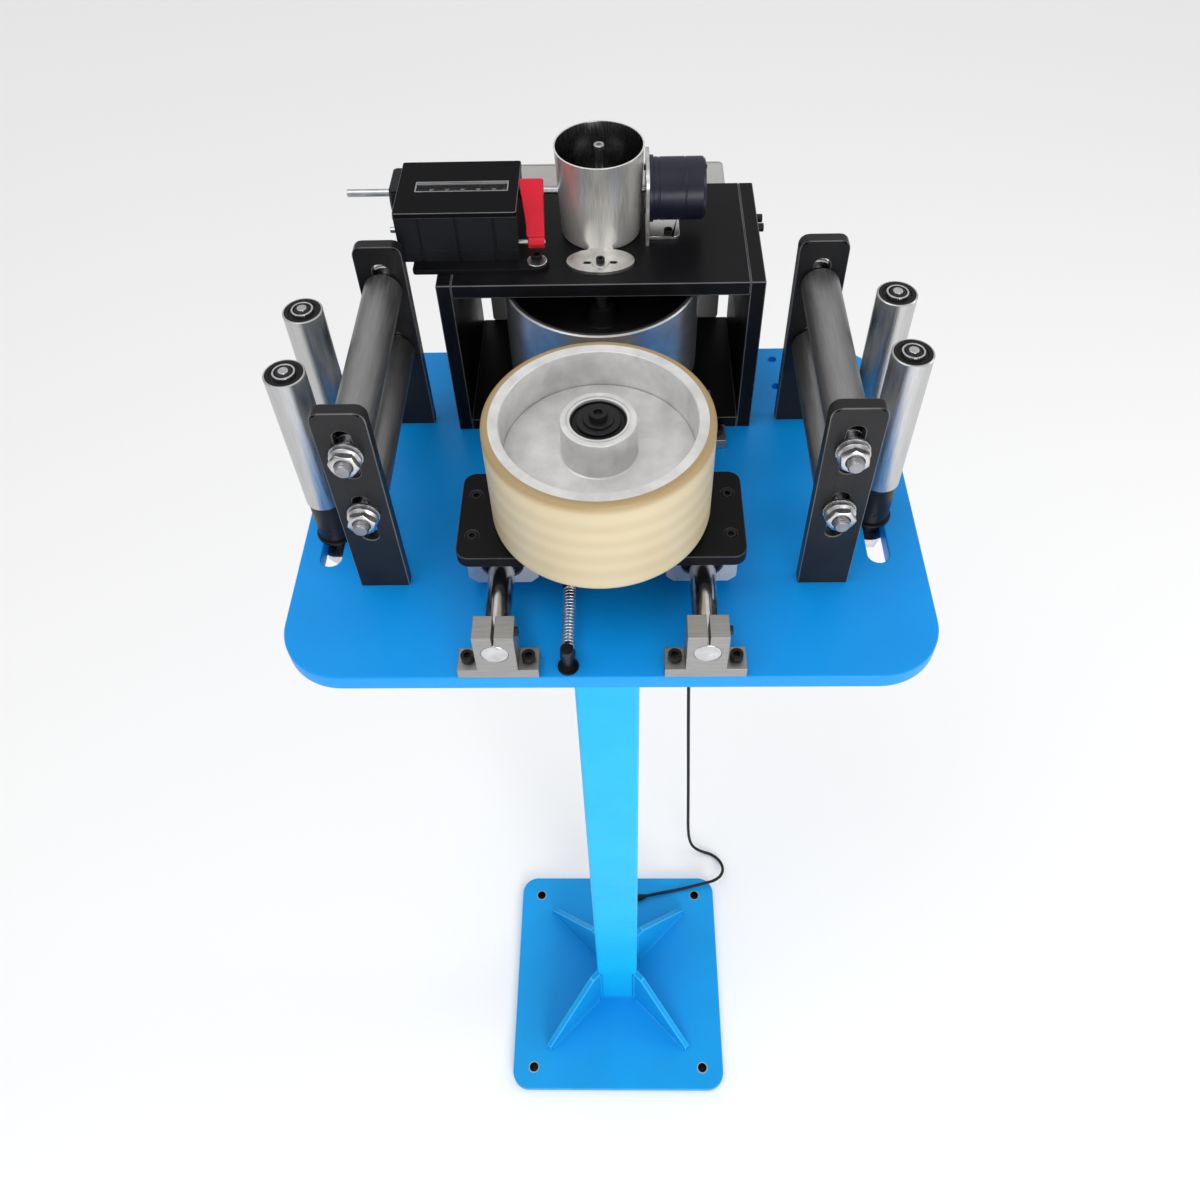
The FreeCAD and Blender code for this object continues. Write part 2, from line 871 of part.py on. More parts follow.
def make_press_wheel():
    """Hub with rim, rubber tyre and two ball bearings."""
    rim_outer = press_radius - tyre_thickness
    rim_inner = rim_outer - rim_wall
    web_low = web_above_rim_bottom
    web_high = web_low + web_thickness
    boss_low = boss_above_rim_bottom
    boss_high = boss_low + boss_height
    bearing_radius = journal_bearing_diameter / 2
    shoulder = bearing_radius - journal_shoulder
    low_seat = boss_low + journal_bearing_width
    high_seat = boss_high - journal_bearing_recess - journal_bearing_width
    profile = [
        (bearing_radius, boss_low),
        (boss_radius, boss_low),
        (boss_radius, web_low),
        (rim_inner, web_low),
        (rim_inner, 0),
        (rim_outer, 0),
        (rim_outer, press_height),
        (rim_inner, press_height),
        (rim_inner, web_high),
        (boss_radius, web_high),
        (boss_radius, boss_high),
        (bearing_radius, boss_high),
        (bearing_radius, high_seat),
        (shoulder, high_seat),
        (shoulder, low_seat),
        (bearing_radius, low_seat),
    ]
    foot = Vector(0, press_y, press_bottom)
    write("press_wheel_hub", [turned(profile, foot)])

    tyre = tube(2 * press_radius, 2 * rim_outer, press_height, foot, UP)
    rims = [edge for edge in tyre.Edges if edge.Curve.TypeId == "Part::GeomCircle"]
    outer = [edge for edge in rims if edge.Curve.Radius > rim_outer + tyre_thickness / 2]
    write("press_wheel_tyre", [tyre.makeFillet(tyre_rounding, outer)])

    bore = journal_diameter + 2 * running_clearance
    rings = []
    for height in (boss_low, high_seat):
        start = foot + UP * height
        rings.append(tube(journal_bearing_diameter, bore, journal_bearing_width, start, UP))
    write("press_wheel_bearings", rings)


def route_with_arcs(points):
    """A wire of straight runs joined by tangent arcs, and the radius of every arc."""
    edges = []
    radii = []
    last = points[0]
    for k in range(1, len(points) - 1):
        before = points[k - 1] - points[k]
        after = points[k + 1] - points[k]
        shorter = min(before.Length, after.Length)
        before.normalize()
        after.normalize()
        turn = math.pi - before.getAngle(after)
        cut = arc_share * shorter
        radius = cut / math.tan(turn / 2)
        radii.append(radius)
        start = points[k] + before * cut
        end = points[k] + after * cut
        inward = before + after
        inward.normalize()
        centre_distance = radius / math.cos(turn / 2)
        middle = points[k] + inward * (centre_distance - radius)
        edges.append(Part.makeLine(last, start))
        edges.append(Part.Arc(start, middle, end).toShape())
        last = end
    edges.append(Part.makeLine(last, points[-1]))
    return Part.Wire(edges), radii


def swept_tube(wire, diameter):
    """A round bar along a wire."""
    start = wire.Edges[0].Vertexes[0].Point
    direction = wire.Edges[0].tangentAt(wire.Edges[0].FirstParameter)
    circle = Part.Wire(Part.makeCircle(diameter / 2, start, direction))
    return wire.makePipeShell([circle], True, False)


def make_spring():
    """A coil of round wire between the two spring seats."""
    front = middle_y + spring_front_post_offset + spring_seat_start()
    back = middle_y + spring_rear_post_offset - spring_seat_start()
    axis_z = deck + spring_lift
    radius = (spring_outer - spring_wire) / 2
    lead = spring_wire
    quarter = math.pi / 2
    quarters = 4 * spring_turns
    pitch = (back - front - 2 * lead) / spring_turns

    def on_coil(angle):
        along = front + lead + pitch * angle / (2 * math.pi)
        return Vector(spring_x + radius * math.cos(angle), along, axis_z + radius * math.sin(angle))

    def heading(angle):
        rise = pitch / (2 * math.pi)
        direction = Vector(-radius * math.sin(angle), rise, radius * math.cos(angle))
        return direction.normalize()

    edges = []
    for k in range(quarters):
        first = on_coil(k * quarter)
        last = on_coil((k + 1) * quarter)
        edges.extend(biarc(first, heading(k * quarter), last, heading((k + 1) * quarter)))
    edges = spring_end(on_coil(0), heading(0), front, -1) + edges
    edges = edges + spring_end(on_coil(quarters * quarter), heading(quarters * quarter), back, 1)
    wire = Part.Wire(edges)
    coil = swept_tube(wire, spring_wire)
    write("press_spring", [coil])

    samples = wire.discretize(Number=spring_samples_per_turn * spring_turns)
    least = samples[0].distanceToPoint(samples[-1])
    for i, point in enumerate(samples):
        for other in samples[i + spring_samples_apart:]:
            least = min(least, point.distanceToPoint(other))
    print("spring turns", spring_turns, "least gap to itself", round(least - spring_wire, 2))
    report_tube("spring", coil, wire, spring_wire)


def spring_end(point, heading, wall_y, side):
    """The short lead of a coil: an arc that turns to meet a seat squarely, then a straight bit."""
    reach = abs(wall_y - point.y)
    straight = Vector(0, side, 0)
    seat = Vector(point.x, wall_y, point.z)
    away = heading * side
    target = seat + away * (reach / 2)
    target.y = wall_y
    before = target - straight * (reach / 2)
    arcs = biarc(point, heading * side, before, straight)
    if side > 0:
        return arcs + [Part.makeLine(before, target)]
    lead = biarc(before, straight * -1, point, heading)
    return [Part.makeLine(target, before)] + lead


def biarc(first, first_heading, last, last_heading):
    """Two tangent arcs between two points with given headings."""
    span = last - first
    both = first_heading + last_heading
    a = both.dot(both) - 4
    b = -2 * span.dot(both)
    c = span.dot(span)
    # The two arcs have equal tangent lengths d: a d^2 + b d + c = 0
    if abs(a) < nearly_zero:
        d = -c / b
    else:
        root = math.sqrt(b * b - 4 * a * c)
        d = max((-b + root) / (2 * a), (-b - root) / (2 * a))
    mid_first = first + first_heading * d
    mid_last = last - last_heading * d
    joint = (mid_first + mid_last) / 2
    return [tangent_arc(first, first_heading, joint), tangent_arc(last, last_heading * -1, joint, True)]


def tangent_arc(start, heading, end, reverse=False):
    """The arc from a point with a given heading to another point."""
    chord = end - start
    across = heading.cross(chord).cross(heading)
    across.normalize()
    radius = chord.dot(chord) / (2 * chord.dot(across))
    centre = start + across * radius
    middle = (start + end) / 2 - centre
    middle.normalize()
    through = centre + middle * abs(radius)
    if reverse:
        return Part.Arc(end, through, start).toShape()
    return Part.Arc(start, through, end).toShape()


def report_tube(name, shape, wire, diameter):
    """Print a tube's volume beside its section times its length."""
    expected = math.pi * diameter ** 2 / 4 * wire.Length
    print(name, "length", round(wire.Length, 1), "volume", round(shape.Volume, 1), "of", round(expected, 1))


def make_frame():
    """The frame of the measuring wheel, its bearings, the wheel and the gear shafts."""
    outer = frame_half_width
    inner = frame_inner_x
    sides = []
    for low, high in ((-outer, -inner), (inner, outer)):
        sides.append(box(low, high, frame_front_y, frame_back_y, deck, frame_top_z))
    write("frame_sides", sides)

    bearing_top = frame_top_z - frame_plate + spindle_bearing_width
    top = box(-inner, inner, frame_front_y, frame_back_y, frame_top_z - frame_plate, frame_top_z)
    spindle_top = Vector(0, measuring_y, frame_top_z - frame_plate)
    layshaft_foot = Vector(0, layshaft_y, frame_top_z - frame_plate)
    top = top.cut(rod(spindle_bearing_diameter, spindle_bearing_width, spindle_top, UP))
    top = top.cut(rod(bush_diameter, frame_plate, layshaft_foot, UP))
    write("frame_top", [top])

    bottom = box(-inner, inner, frame_front_y, frame_back_y, deck, deck + frame_plate)
    low_bearing = Vector(0, measuring_y, deck + frame_plate - spindle_bearing_width)
    bottom = bottom.cut(rod(spindle_bearing_diameter, spindle_bearing_width, low_bearing, UP))
    write("frame_bottom", [bottom])

    bore = spindle_diameter + 2 * running_clearance
    rings = [
        tube(spindle_bearing_diameter, bore, spindle_bearing_width, low_bearing, UP),
        tube(spindle_bearing_diameter, bore, spindle_bearing_width, spindle_top, UP),
        tube(bush_diameter, layshaft_diameter + 2 * running_clearance, frame_plate, layshaft_foot, UP),
    ]
    write("spindle_bearings", rings)

    rim_inner = measuring_radius - measuring_rim
    bore = spindle_diameter / 2 + running_clearance
    web_low = measuring_web_height
    web_high = web_low + measuring_web
    profile = [
        (bore, web_low),
        (rim_inner, web_low),
        (rim_inner, 0),
        (measuring_radius, 0),
        (measuring_radius, measuring_height),
        (rim_inner, measuring_height),
        (rim_inner, web_high),
        (measuring_hub_radius, web_high),
        (measuring_hub_top_radius, web_high + measuring_hub_height),
        (bore, web_high + measuring_hub_height),
    ]
    write("measuring_wheel", [turned(profile, Vector(0, measuring_y, deck + measuring_lift))])

    shoulder_foot = Vector(0, measuring_y, deck + frame_plate + end_play)
    shoulder_height = measuring_lift + measuring_web_height - frame_plate - end_play
    gear_foot = Vector(0, measuring_y, deck + gear_lift)
    pinion = spur_gear(spindle_teeth, gear_foot, RIGHT, BACK, math.pi / 2, gear_face, gear_module)
    spindle = join([
        rod(spindle_diameter, bearing_top - low_bearing.z, low_bearing, UP),
        rod(spindle_shoulder, shoulder_height, shoulder_foot, UP),
        pinion,
    ])
    write("measuring_spindle", [spindle])

    half_tooth = math.pi / layshaft_teeth
    gear_foot = Vector(0, layshaft_y, deck + gear_lift)
    facing = math.pi / 2 + half_tooth
    wheel = spur_gear(layshaft_teeth, gear_foot, RIGHT, BACK, facing, gear_face, gear_module)
    gear_top = gear_lift + gear_face
    collar_length = frame_height - frame_plate - end_play - gear_top
    shaft_top = cup_top - layshaft_top_below_rim
    stop_foot = frame_top_z + cup_floor + end_play
    layshaft = join([
        rod(layshaft_diameter, shaft_top - gear_foot.z, gear_foot, UP),
        wheel,
        rod(layshaft_collar, collar_length, gear_foot + UP * gear_face, UP),
        rod(layshaft_collar, layshaft_collar_height, Vector(0, layshaft_y, stop_foot), UP),
        bevel_gear(UP * -1, RIGHT, BACK, 0),
    ])
    write("layshaft", [layshaft])


def make_cup():
    """The open cup round the bevel gears, with its ear in front."""
    outer_top = cup_rim_radius
    slope = (cup_rim_radius - cup_base_radius) / cup_height
    floor_radius = cup_base_radius + slope * cup_floor - cup_wall
    profile = [
        (0, 0),
        (cup_base_radius, 0),
        (outer_top, cup_height),
        (outer_top - cup_wall, cup_height),
        (floor_radius, cup_floor),
        (0, cup_floor),
    ]
    foot = Vector(0, layshaft_y, frame_top_z)
    cup = turned(profile, foot)
    ear_front = middle_y + cup_ear_front_offset
    ear = box(
        -cup_ear_half_width, cup_ear_half_width, ear_front, layshaft_y,
        frame_top_z, frame_top_z + cup_ear_thickness,
    )
    corners = [edge for edge in edges_along(ear, UP) if edge.CenterOfMass.y < ear_front + overrun]
    ear = ear.makeFillet(cup_ear_corner, corners)
    ear = ear.cut(Part.makeCone(cup_base_radius, outer_top, cup_height, foot, UP))
    cup = join([cup, ear])
    hole = bush_diameter
    cutters = [rod(hole, cup_floor, foot, UP)]
    across = Vector(-cup_rim_radius - overrun, layshaft_y, bevel_z)
    cutters.append(rod(cup_shaft_hole, 2 * (cup_rim_radius + overrun), across, RIGHT))
    screw_y = middle_y + cup_screw_offset
    cutters.append(rod(cup_slot_width, cup_ear_thickness, Vector(0, screw_y, frame_top_z), UP))
    for side in (-1, 1):
        centre = Vector(side * cup_slot_spacing / 2, screw_y, frame_top_z)
        cutters.append(slot(cup_slot_width, cup_slot_length, centre, RIGHT, UP, cup_ear_thickness))
    write("gear_cup", [cut_all(cup, cutters)])


def counter_strip():
    """The strip that holds the counter on the frame, with a tongue for its screw."""
    front = middle_y + strip_front_offset
    back = middle_y + strip_back_offset
    top = frame_top_z + strip_thickness
    plate = box(strip_left, counter_right, front, back, frame_top_z, top)
    tongue = box(counter_right, strip_tongue_right, front, front + strip_tongue_depth, frame_top_z, top)
    ends = [edge for edge in edges_along(tongue, UP) if edge.CenterOfMass.x > counter_right + overrun]
    tongue = tongue.makeFillet(strip_tongue_depth / 2 - overrun, ends)
    strip = join([plate, tongue])
    screw_at = Vector(strip_screw_x, front + strip_tongue_depth / 2, frame_top_z)
    return strip.cut(rod(screw_size, strip_thickness, screw_at, UP))


def make_encoder_bracket():
    """The angle that holds the encoder."""
    left = encoder_plate_left
    right = left + encoder_plate_thickness
    wall = rounded_top_box(
        left, right, layshaft_y - encoder_plate_half_width, layshaft_y + encoder_plate_half_width,
        frame_top_z, frame_top_z + encoder_plate_height, encoder_plate_corner, RIGHT,
    )
    foot = box(
        left, encoder_foot_right, layshaft_y - encoder_foot_half_width, layshaft_y + encoder_foot_half_width,
        frame_top_z, frame_top_z + encoder_foot_thickness,
    )
    ends = [edge for edge in edges_along(foot, UP) if edge.CenterOfMass.x > right]
    foot = foot.makeFillet(encoder_foot_corner, ends)
    angle = join([wall, foot])
    hole = Vector(left, layshaft_y, bevel_z)
    angle = angle.cut(rod(2 * encoder_hole_radius, encoder_plate_thickness, hole, RIGHT))
    at = Vector(encoder_screw_x, middle_y + encoder_screw_offset, frame_top_z)
    angle = angle.cut(rod(cup_slot_width, encoder_foot_thickness, at, UP))
    write("encoder_bracket", [angle])


def make_counter():
    """The counter's case, window, inner works, number wheels and shaft."""
    front = middle_y + counter_front_offset
    back = middle_y + counter_back_offset
    low = counter_low_z
    high = counter_high_z
    case = box(counter_left, counter_right, front, back, low, high)
    upper = [edge for edge in case.Edges if edge.CenterOfMass.z > high - overrun]
    case = case.makeFillet(counter_rounding, upper)
    bulge_start = Vector(counter_left - counter_bulge, layshaft_y, bevel_z)
    bulge_length = counter_bulge + overrun
    bulge = rod(2 * counter_bulge_radius, bulge_length, bulge_start, RIGHT)
    bulge = bulge.common(box(counter_left - counter_bulge, counter_left + overrun, front, back, low, high))
    case = join([case, bulge])
    room_front = middle_y + counter_room_front_offset
    room_back = middle_y + counter_room_back_offset
    room_low = low + counter_floor
    room_high = high - counter_lid
    window_front = middle_y + window_front_offset
    window_back = middle_y + window_back_offset
    pane_low = high - window_thickness
    rim = window_rebate
    cutters = [
        box(counter_room_left, counter_room_right, room_front, room_back, room_low, room_high),
        box(window_left, window_right, window_front, window_back, room_high - overrun, high),
        box(window_left - rim, window_right + rim, window_front - rim, window_back + rim, pane_low, high),
    ]
    shaft_hole = counter_shaft_diameter + 2 * running_clearance
    shaft_start = Vector(counter_left - counter_bulge, layshaft_y, bevel_z)
    cutters.append(rod(shaft_hole, counter_right - shaft_start.x, shaft_start, RIGHT))
    axle_start = Vector(counter_room_left - axle_seat_depth, number_y, bevel_z)
    axle_length = counter_room_right - counter_room_left + 2 * axle_seat_depth
    cutters.append(rod(number_axle_diameter, axle_length, axle_start, RIGHT))
    reach = (number_radius + pinion_gap + pinion_radius) / math.sqrt(2)
    pinion_start = Vector(axle_start.x, number_y - reach, bevel_z - reach)
    cutters.append(rod(pinion_shaft_diameter, axle_length, pinion_start, RIGHT))
    middle = (counter_left + counter_right) / 2
    for k in range(groove_count):
        x = middle + (k - (groove_count - 1) / 2) * groove_spacing
        cutters.append(box(x - groove_width / 2, x + groove_width / 2, front, front + groove_depth,
                           low, high - 2 * counter_rounding))
    hinge = lever_hinge()
    pin_start = Vector(counter_right - axle_seat_depth, hinge.y, hinge.z)
    cutters.append(rod(lever_pin_diameter, axle_seat_depth, pin_start, RIGHT))
    write("counter_case", [cut_all(case, cutters), counter_strip()])

    pane = box(window_left - rim, window_right + rim, window_front - rim, window_back + rim, pane_low, high)
    write("counter_window", [pane])

    works = [rod(number_axle_diameter, axle_length, axle_start, RIGHT)]
    pinion_parts = [rod(pinion_shaft_diameter, axle_length, pinion_start, RIGHT)]
    for k in range(number_count - 1):
        x = number_first_x - (k + 1 / 2) * number_pitch - pinion_length / 2
        start = Vector(x, pinion_start.y, pinion_start.z)
        pinion_parts.append(rod(2 * pinion_radius, pinion_length, start, RIGHT))
    works.append(join(pinion_parts))
    pin_length = axle_seat_depth + 2 * lever_gap + lever_top_width
    works.append(rod(lever_pin_diameter, pin_length, pin_start, RIGHT))
    write("counter_works", works)

    module = 2 * number_axis_ahead / (2 * number_gear_teeth)
    half_tooth = math.pi / number_gear_teeth
    gear_x = number_first_x + number_width / 2
    bore = number_axle_diameter + 2 * running_clearance
    for k in range(number_count):
        x = number_first_x - k * number_pitch - number_width / 2
        centre = Vector(x, number_y, bevel_z)
        wheel = rod(2 * number_radius, number_width, centre, RIGHT)
        length = number_width
        if k == 0:
            gear_at = Vector(gear_x, number_y, bevel_z)
            gear = spur_gear(number_gear_teeth, gear_at, BACK, UP, half_tooth, number_gear_face, module)
            wheel = join([wheel, gear])
            length = number_width + number_gear_face
        wheel = wheel.cut(rod(bore, length, centre, RIGHT))
        write("number_wheel_" + str(k + 1), [wheel])

    shaft_end = -bevel_end_gap
    left = Vector(counter_shaft_left, layshaft_y, bevel_z)
    drive_at = Vector(gear_x + number_gear_gap, layshaft_y, bevel_z)
    face = number_gear_face - number_gear_gap
    drive = spur_gear(number_gear_teeth, drive_at, BACK, UP, 0, face, module)
    turning = join([
        rod(counter_shaft_diameter, shaft_end - counter_shaft_left, left, RIGHT),
        drive,
        bevel_gear(RIGHT * -1, BACK, UP, math.pi / bevel_teeth - math.pi / 2),
    ])
    write("counter_shaft", [turning])


def lever_hinge():
    """A point on the axis of the reset lever's hinge."""
    return Vector(counter_right, middle_y + lever_hinge_offset, counter_low_z + lever_hinge_height)


def make_lever():
    """The red reset lever: an eye with a tapered arm that leans back."""
    hinge = lever_hinge()
    left = counter_right + lever_gap
    lean = math.radians(lever_lean)
    half = lever_thickness / 2
    outline = [
        Vector(left + (lever_top_width - lever_base_width), -half, 0),
        Vector(left + lever_top_width, -half, 0),
        Vector(left + lever_top_width, -half, lever_length),
        Vector(left, -half, lever_length),
    ]
    arm = Part.Face(Part.makePolygon(outline + outline[:1])).extrude(BACK * lever_thickness)
    top = [edge for edge in edges_along(arm, BACK) if edge.CenterOfMass.z > lever_length / 2]
    arm = arm.makeFillet(lever_rounding, top)
    eye_start = Vector(left + lever_top_width - lever_base_width, 0, 0)
    eye = rod(2 * lever_eye_radius, lever_base_width, eye_start, RIGHT)
    lever = join([arm, eye])
    bore = lever_pin_diameter + 2 * running_clearance
    lever = lever.cut(rod(bore, lever_top_width, Vector(left, 0, 0), RIGHT))
    lever.rotate(Vector(0, 0, 0), RIGHT, -math.degrees(lean))
    lever.translate(Vector(0, hinge.y, hinge.z))
    write("reset_lever", [lever])


def make_encoder():
    """The rotary encoder and the shaft that turns in it."""
    start_x = encoder_plate_left + encoder_plate_thickness
    start = Vector(start_x, layshaft_y, bevel_z)
    body_start = Vector(start_x + encoder_boss_length, layshaft_y, bevel_z)
    body = join([
        rod(2 * encoder_boss_radius, encoder_boss_length, start, RIGHT),
        rod(2 * encoder_radius, encoder_right - body_start.x, body_start, RIGHT),
    ])
    bore = encoder_shaft_diameter + 2 * running_clearance
    body = body.cut(rod(bore, encoder_shaft_depth, start, RIGHT))
    write("encoder_body", [body])

    tip = Vector(bevel_end_gap, layshaft_y, bevel_z)
    length = start_x + encoder_shaft_depth - end_play - bevel_end_gap
    shaft = join([
        rod(encoder_shaft_diameter, length, tip, RIGHT),
        bevel_gear(RIGHT, BACK, UP, math.pi / bevel_teeth - math.pi / 2),
    ])
    write("encoder_shaft", [shaft])


def make_junction_box():
    """The grey box behind the frame, with the gland in its underside."""
    front = frame_back_y
    back = front + box_depth
    low = deck + box_bottom
    high = frame_top_z - box_below_frame
    half = box_half_width
    lid_at = back - box_lid
    tub = rounded_box(-half, half, front, lid_at, low, high, box_corner, BACK)
    wall = box_wall
    tub = tub.cut(box(-half + wall, half - wall, front + wall, lid_at, low + wall, high - wall))
    gland_top = Vector(gland_x, front + box_depth / 2, low)
    tub = tub.cut(rod(2 * (gland_body_radius + running_clearance), box_wall, gland_top, UP))
    lid = rounded_box(-half, half, lid_at, back, low, high, box_corner, BACK)
    write("junction_box", [tub, lid])

    nut_low = gland_top - UP * gland_nut_height
    body_low = nut_low - UP * gland_body_length
    boot_low = body_low - UP * gland_boot_length
    boot = Part.makeCone(cable_diameter / 2 + boot_lip, gland_boot_radius, gland_boot_length, boot_low, UP)
    gland = join([
        rod(2 * gland_body_radius, box_wall, gland_top, UP),
        hexagon(gland_nut_across_flats, gland_nut_height, nut_low, UP),
        rod(2 * gland_body_radius, gland_body_length, body_low, UP),
        boot,
    ])
    write("cable_gland", [gland])
    return boot_low


# Corners of the cable's route after the gland's mouth, chosen by hand.
# They follow the hanging stretch, the loop on the floor behind the base
# plate, the hump over the plate's rear edge and the short run to the plug.
cable_route = [
    (98.1, 299.8, 1040.0),
    (98.4, 299.0, 980.0),
    (98.9, 297.6, 912.0),
    (99.7, 295.4, 841.0),
    (100.8, 292.2, 769.0),
    (102.2, 288.2, 697.0),
    (103.8, 283.4, 626.0),
    (105.6, 277.8, 555.0),
    (107.6, 271.6, 485.0),
    (109.9, 264.8, 415.0),
    (112.3, 257.4, 345.0),
    (114.8, 249.8, 276.0),
    (117.2, 242.0, 208.0),
    (119.4, 234.6, 142.0),
    (121.2, 228.0, 84.0),
    (124.0, 222.8, 46.0),
    (131.0, 218.8, 19.5),
    (146.2, 216.0, 5.4),
    (164.6, 212.0, 3.0),
    (178.4, 200.6, 3.8),
    (183.8, 183.6, 9.2),
    (178.4, 167.4, 16.4),
    (164.4, 156.2, 21.6),
    (146.2, 152.0, 21.8),
    (127.6, 148.2, 18.4),
    (110.0, 145.0, 15.3),
    (93.0, 141.4, 15.4),
    (77.0, 137.8, 17.6),
    (62.0, 134.4, 18.8),
    (48.0, 131.2, 18.8),
]


def make_cable(exit_point):
    """The free cable and the inline plug on its end."""
    points = [exit_point] + [Vector(x, y, z) for x, y, z in cable_route]
    wire, radii = route_with_arcs(points)
    cable = swept_tube(wire, cable_diameter)
    write("output_cable", [cable])
    print("cable radii", [round(radius) for radius in radii])
    report_tube("cable", cable, wire, cable_diameter)

    end = points[-1]
    heading = end - points[-2]
    heading.normalize()
    boot = Part.makeCone(cable_diameter / 2 + boot_lip, plug_radius, plug_boot_length, end, heading)
    body_start = end + heading * plug_boot_length
    body = rod(2 * plug_radius, plug_length, body_start, heading)
    collar_start = body_start + heading * plug_length
    collar = rod(2 * plug_collar_radius, plug_collar_length, collar_start, heading)
    write("output_plug", [join([boot, body, collar])])


def make_cap_screws():
    """The stand's own screws: each is a separate solid."""
    screws = []
    for x, y in support_screw_places():
        seat = Vector(x, y, deck + support_foot)
        grip = support_foot + support_screw_grip
        screws.append(cap_screw(support_screw_head, support_screw_head_height, screw_size, grip, seat, UP))
    for at in head_bolt_places():
        grip = head_bolt_depth
        screws.append(cap_screw(head_bolt_head, head_bolt, head_bolt, grip, at, UP * -1))
    for x, y in upright_bolt_places():
        seat = Vector(x, y, deck - plate_thickness)
        grip = plate_thickness + upright_bolt_depth
        screws.append(cap_screw(upright_bolt_head, upright_bolt, upright_bolt, grip, seat, UP * -1))
    for side in (-1, 1):
        for step in (0, 1):
            seat = Vector(
                side * frame_half_width,
                middle_y + frame_screw_offset + step * frame_screw_spacing,
                frame_top_z - frame_plate / 2,
            )
            screws.append(rod(frame_screw_head, frame_screw_head_height, seat, RIGHT * side))
    ear_seat = Vector(0, middle_y + cup_screw_offset, frame_top_z + cup_ear_thickness)
    grip = cup_ear_thickness
    screws.append(cap_screw(cup_screw_head, cup_screw_head_height, cup_slot_width, grip, ear_seat, UP))
    foot_top = frame_top_z + encoder_foot_thickness
    foot_seat = Vector(encoder_screw_x, middle_y + encoder_screw_offset, foot_top)
    head = encoder_screw_head
    head_height = encoder_screw_head_height
    screws.append(cap_screw(head, head_height, cup_slot_width, encoder_foot_thickness, foot_seat, UP))
    strip_seat = Vector(
        strip_screw_x, middle_y + strip_front_offset + strip_tongue_depth / 2, frame_top_z + strip_thickness
    )
    screws.append(tube(strip_screw_washer, screw_size, strip_screw_washer_thickness, strip_seat, UP))
    grip = strip_thickness + strip_screw_washer_thickness
    top_seat = strip_seat + UP * strip_screw_washer_thickness
    screws.append(cap_screw(strip_screw_head, strip_screw_head_height, screw_size, grip, top_seat, UP))

    post_foot_point = Vector(spring_x, middle_y + spring_front_post_offset, deck)
    washer = rod(spring_post_washer, spring_post_washer_thickness, post_foot_point, UP)
    post = rod(spring_post, spring_post_height, post_foot_point, UP)
    head = rod(spring_post_head, spring_post_head_height, post_foot_point + UP * spring_post_height, UP)
    face = Vector(spring_x, post_foot_point.y + spring_seat_start(), deck + spring_lift)
    screws.append(spring_seat_on(join([washer, post, head]), face, BACK))
    write("cap_screws", screws)


os.makedirs("parts", exist_ok=True)
make_stand()
make_uprights()
for side_name, side_x in (("left", -upright_x), ("right", upright_x)):
    make_lying_roller("upper_" + side_name, side_x, upper_roller_lift)
    make_lying_roller("lower_" + side_name, side_x, lower_roller_lift)
make_standing_roller("front_left", -post_x, left_front_post_offset)
make_standing_roller("rear_left", -post_x, left_rear_post_offset)
make_standing_roller("front_right", post_x, right_front_post_offset)
make_standing_roller("rear_right", post_x, right_rear_post_offset)
make_guides()
make_carriage()
make_press_wheel()
make_spring()
make_frame()
make_cup()
make_encoder_bracket()
make_counter()
make_lever()
make_encoder()
make_cable(make_junction_box())
make_cap_screws()
print("files", len(os.listdir("parts")))
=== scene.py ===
import json
import math

import bmesh
import bpy
from mathutils import Matrix, Vector

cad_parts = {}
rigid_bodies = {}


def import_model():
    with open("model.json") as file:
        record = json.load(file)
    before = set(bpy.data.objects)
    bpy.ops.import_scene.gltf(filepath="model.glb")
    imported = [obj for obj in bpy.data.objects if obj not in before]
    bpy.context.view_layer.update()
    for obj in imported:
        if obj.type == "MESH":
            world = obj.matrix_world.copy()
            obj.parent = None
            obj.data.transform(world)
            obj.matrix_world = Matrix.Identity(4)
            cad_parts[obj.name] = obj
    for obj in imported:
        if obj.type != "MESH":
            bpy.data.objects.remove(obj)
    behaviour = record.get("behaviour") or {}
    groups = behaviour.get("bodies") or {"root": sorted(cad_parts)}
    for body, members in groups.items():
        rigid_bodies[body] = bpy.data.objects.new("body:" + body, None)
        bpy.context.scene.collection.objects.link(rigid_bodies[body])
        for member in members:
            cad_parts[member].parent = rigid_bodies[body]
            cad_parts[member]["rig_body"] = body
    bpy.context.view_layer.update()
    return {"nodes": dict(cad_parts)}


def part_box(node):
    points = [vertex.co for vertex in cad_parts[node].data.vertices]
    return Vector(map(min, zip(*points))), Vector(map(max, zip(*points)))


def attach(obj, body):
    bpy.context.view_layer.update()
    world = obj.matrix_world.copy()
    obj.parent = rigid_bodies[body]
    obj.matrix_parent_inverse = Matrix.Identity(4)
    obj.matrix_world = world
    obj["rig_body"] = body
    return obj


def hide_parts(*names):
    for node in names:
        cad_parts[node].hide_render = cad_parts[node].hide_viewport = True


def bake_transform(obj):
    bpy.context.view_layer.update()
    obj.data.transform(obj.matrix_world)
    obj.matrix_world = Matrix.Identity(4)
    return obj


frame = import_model()
nodes = frame["nodes"]
mm = 0.001
RIGHT = Vector((1, 0, 0))
BACK = Vector((0, 1, 0))
UP = Vector((0, 0, 1))


# Camera, floor and light

image_side = 1200
focal_pixels = 1050
lens_middle_row = 540
sensor_width = 36
camera_place = Vector((18.3, -532.8, 1791.5)) * mm
camera_yaw = math.radians(-2.22)
camera_pitch = math.radians(50.71)
camera_roll = math.radians(-2.16)


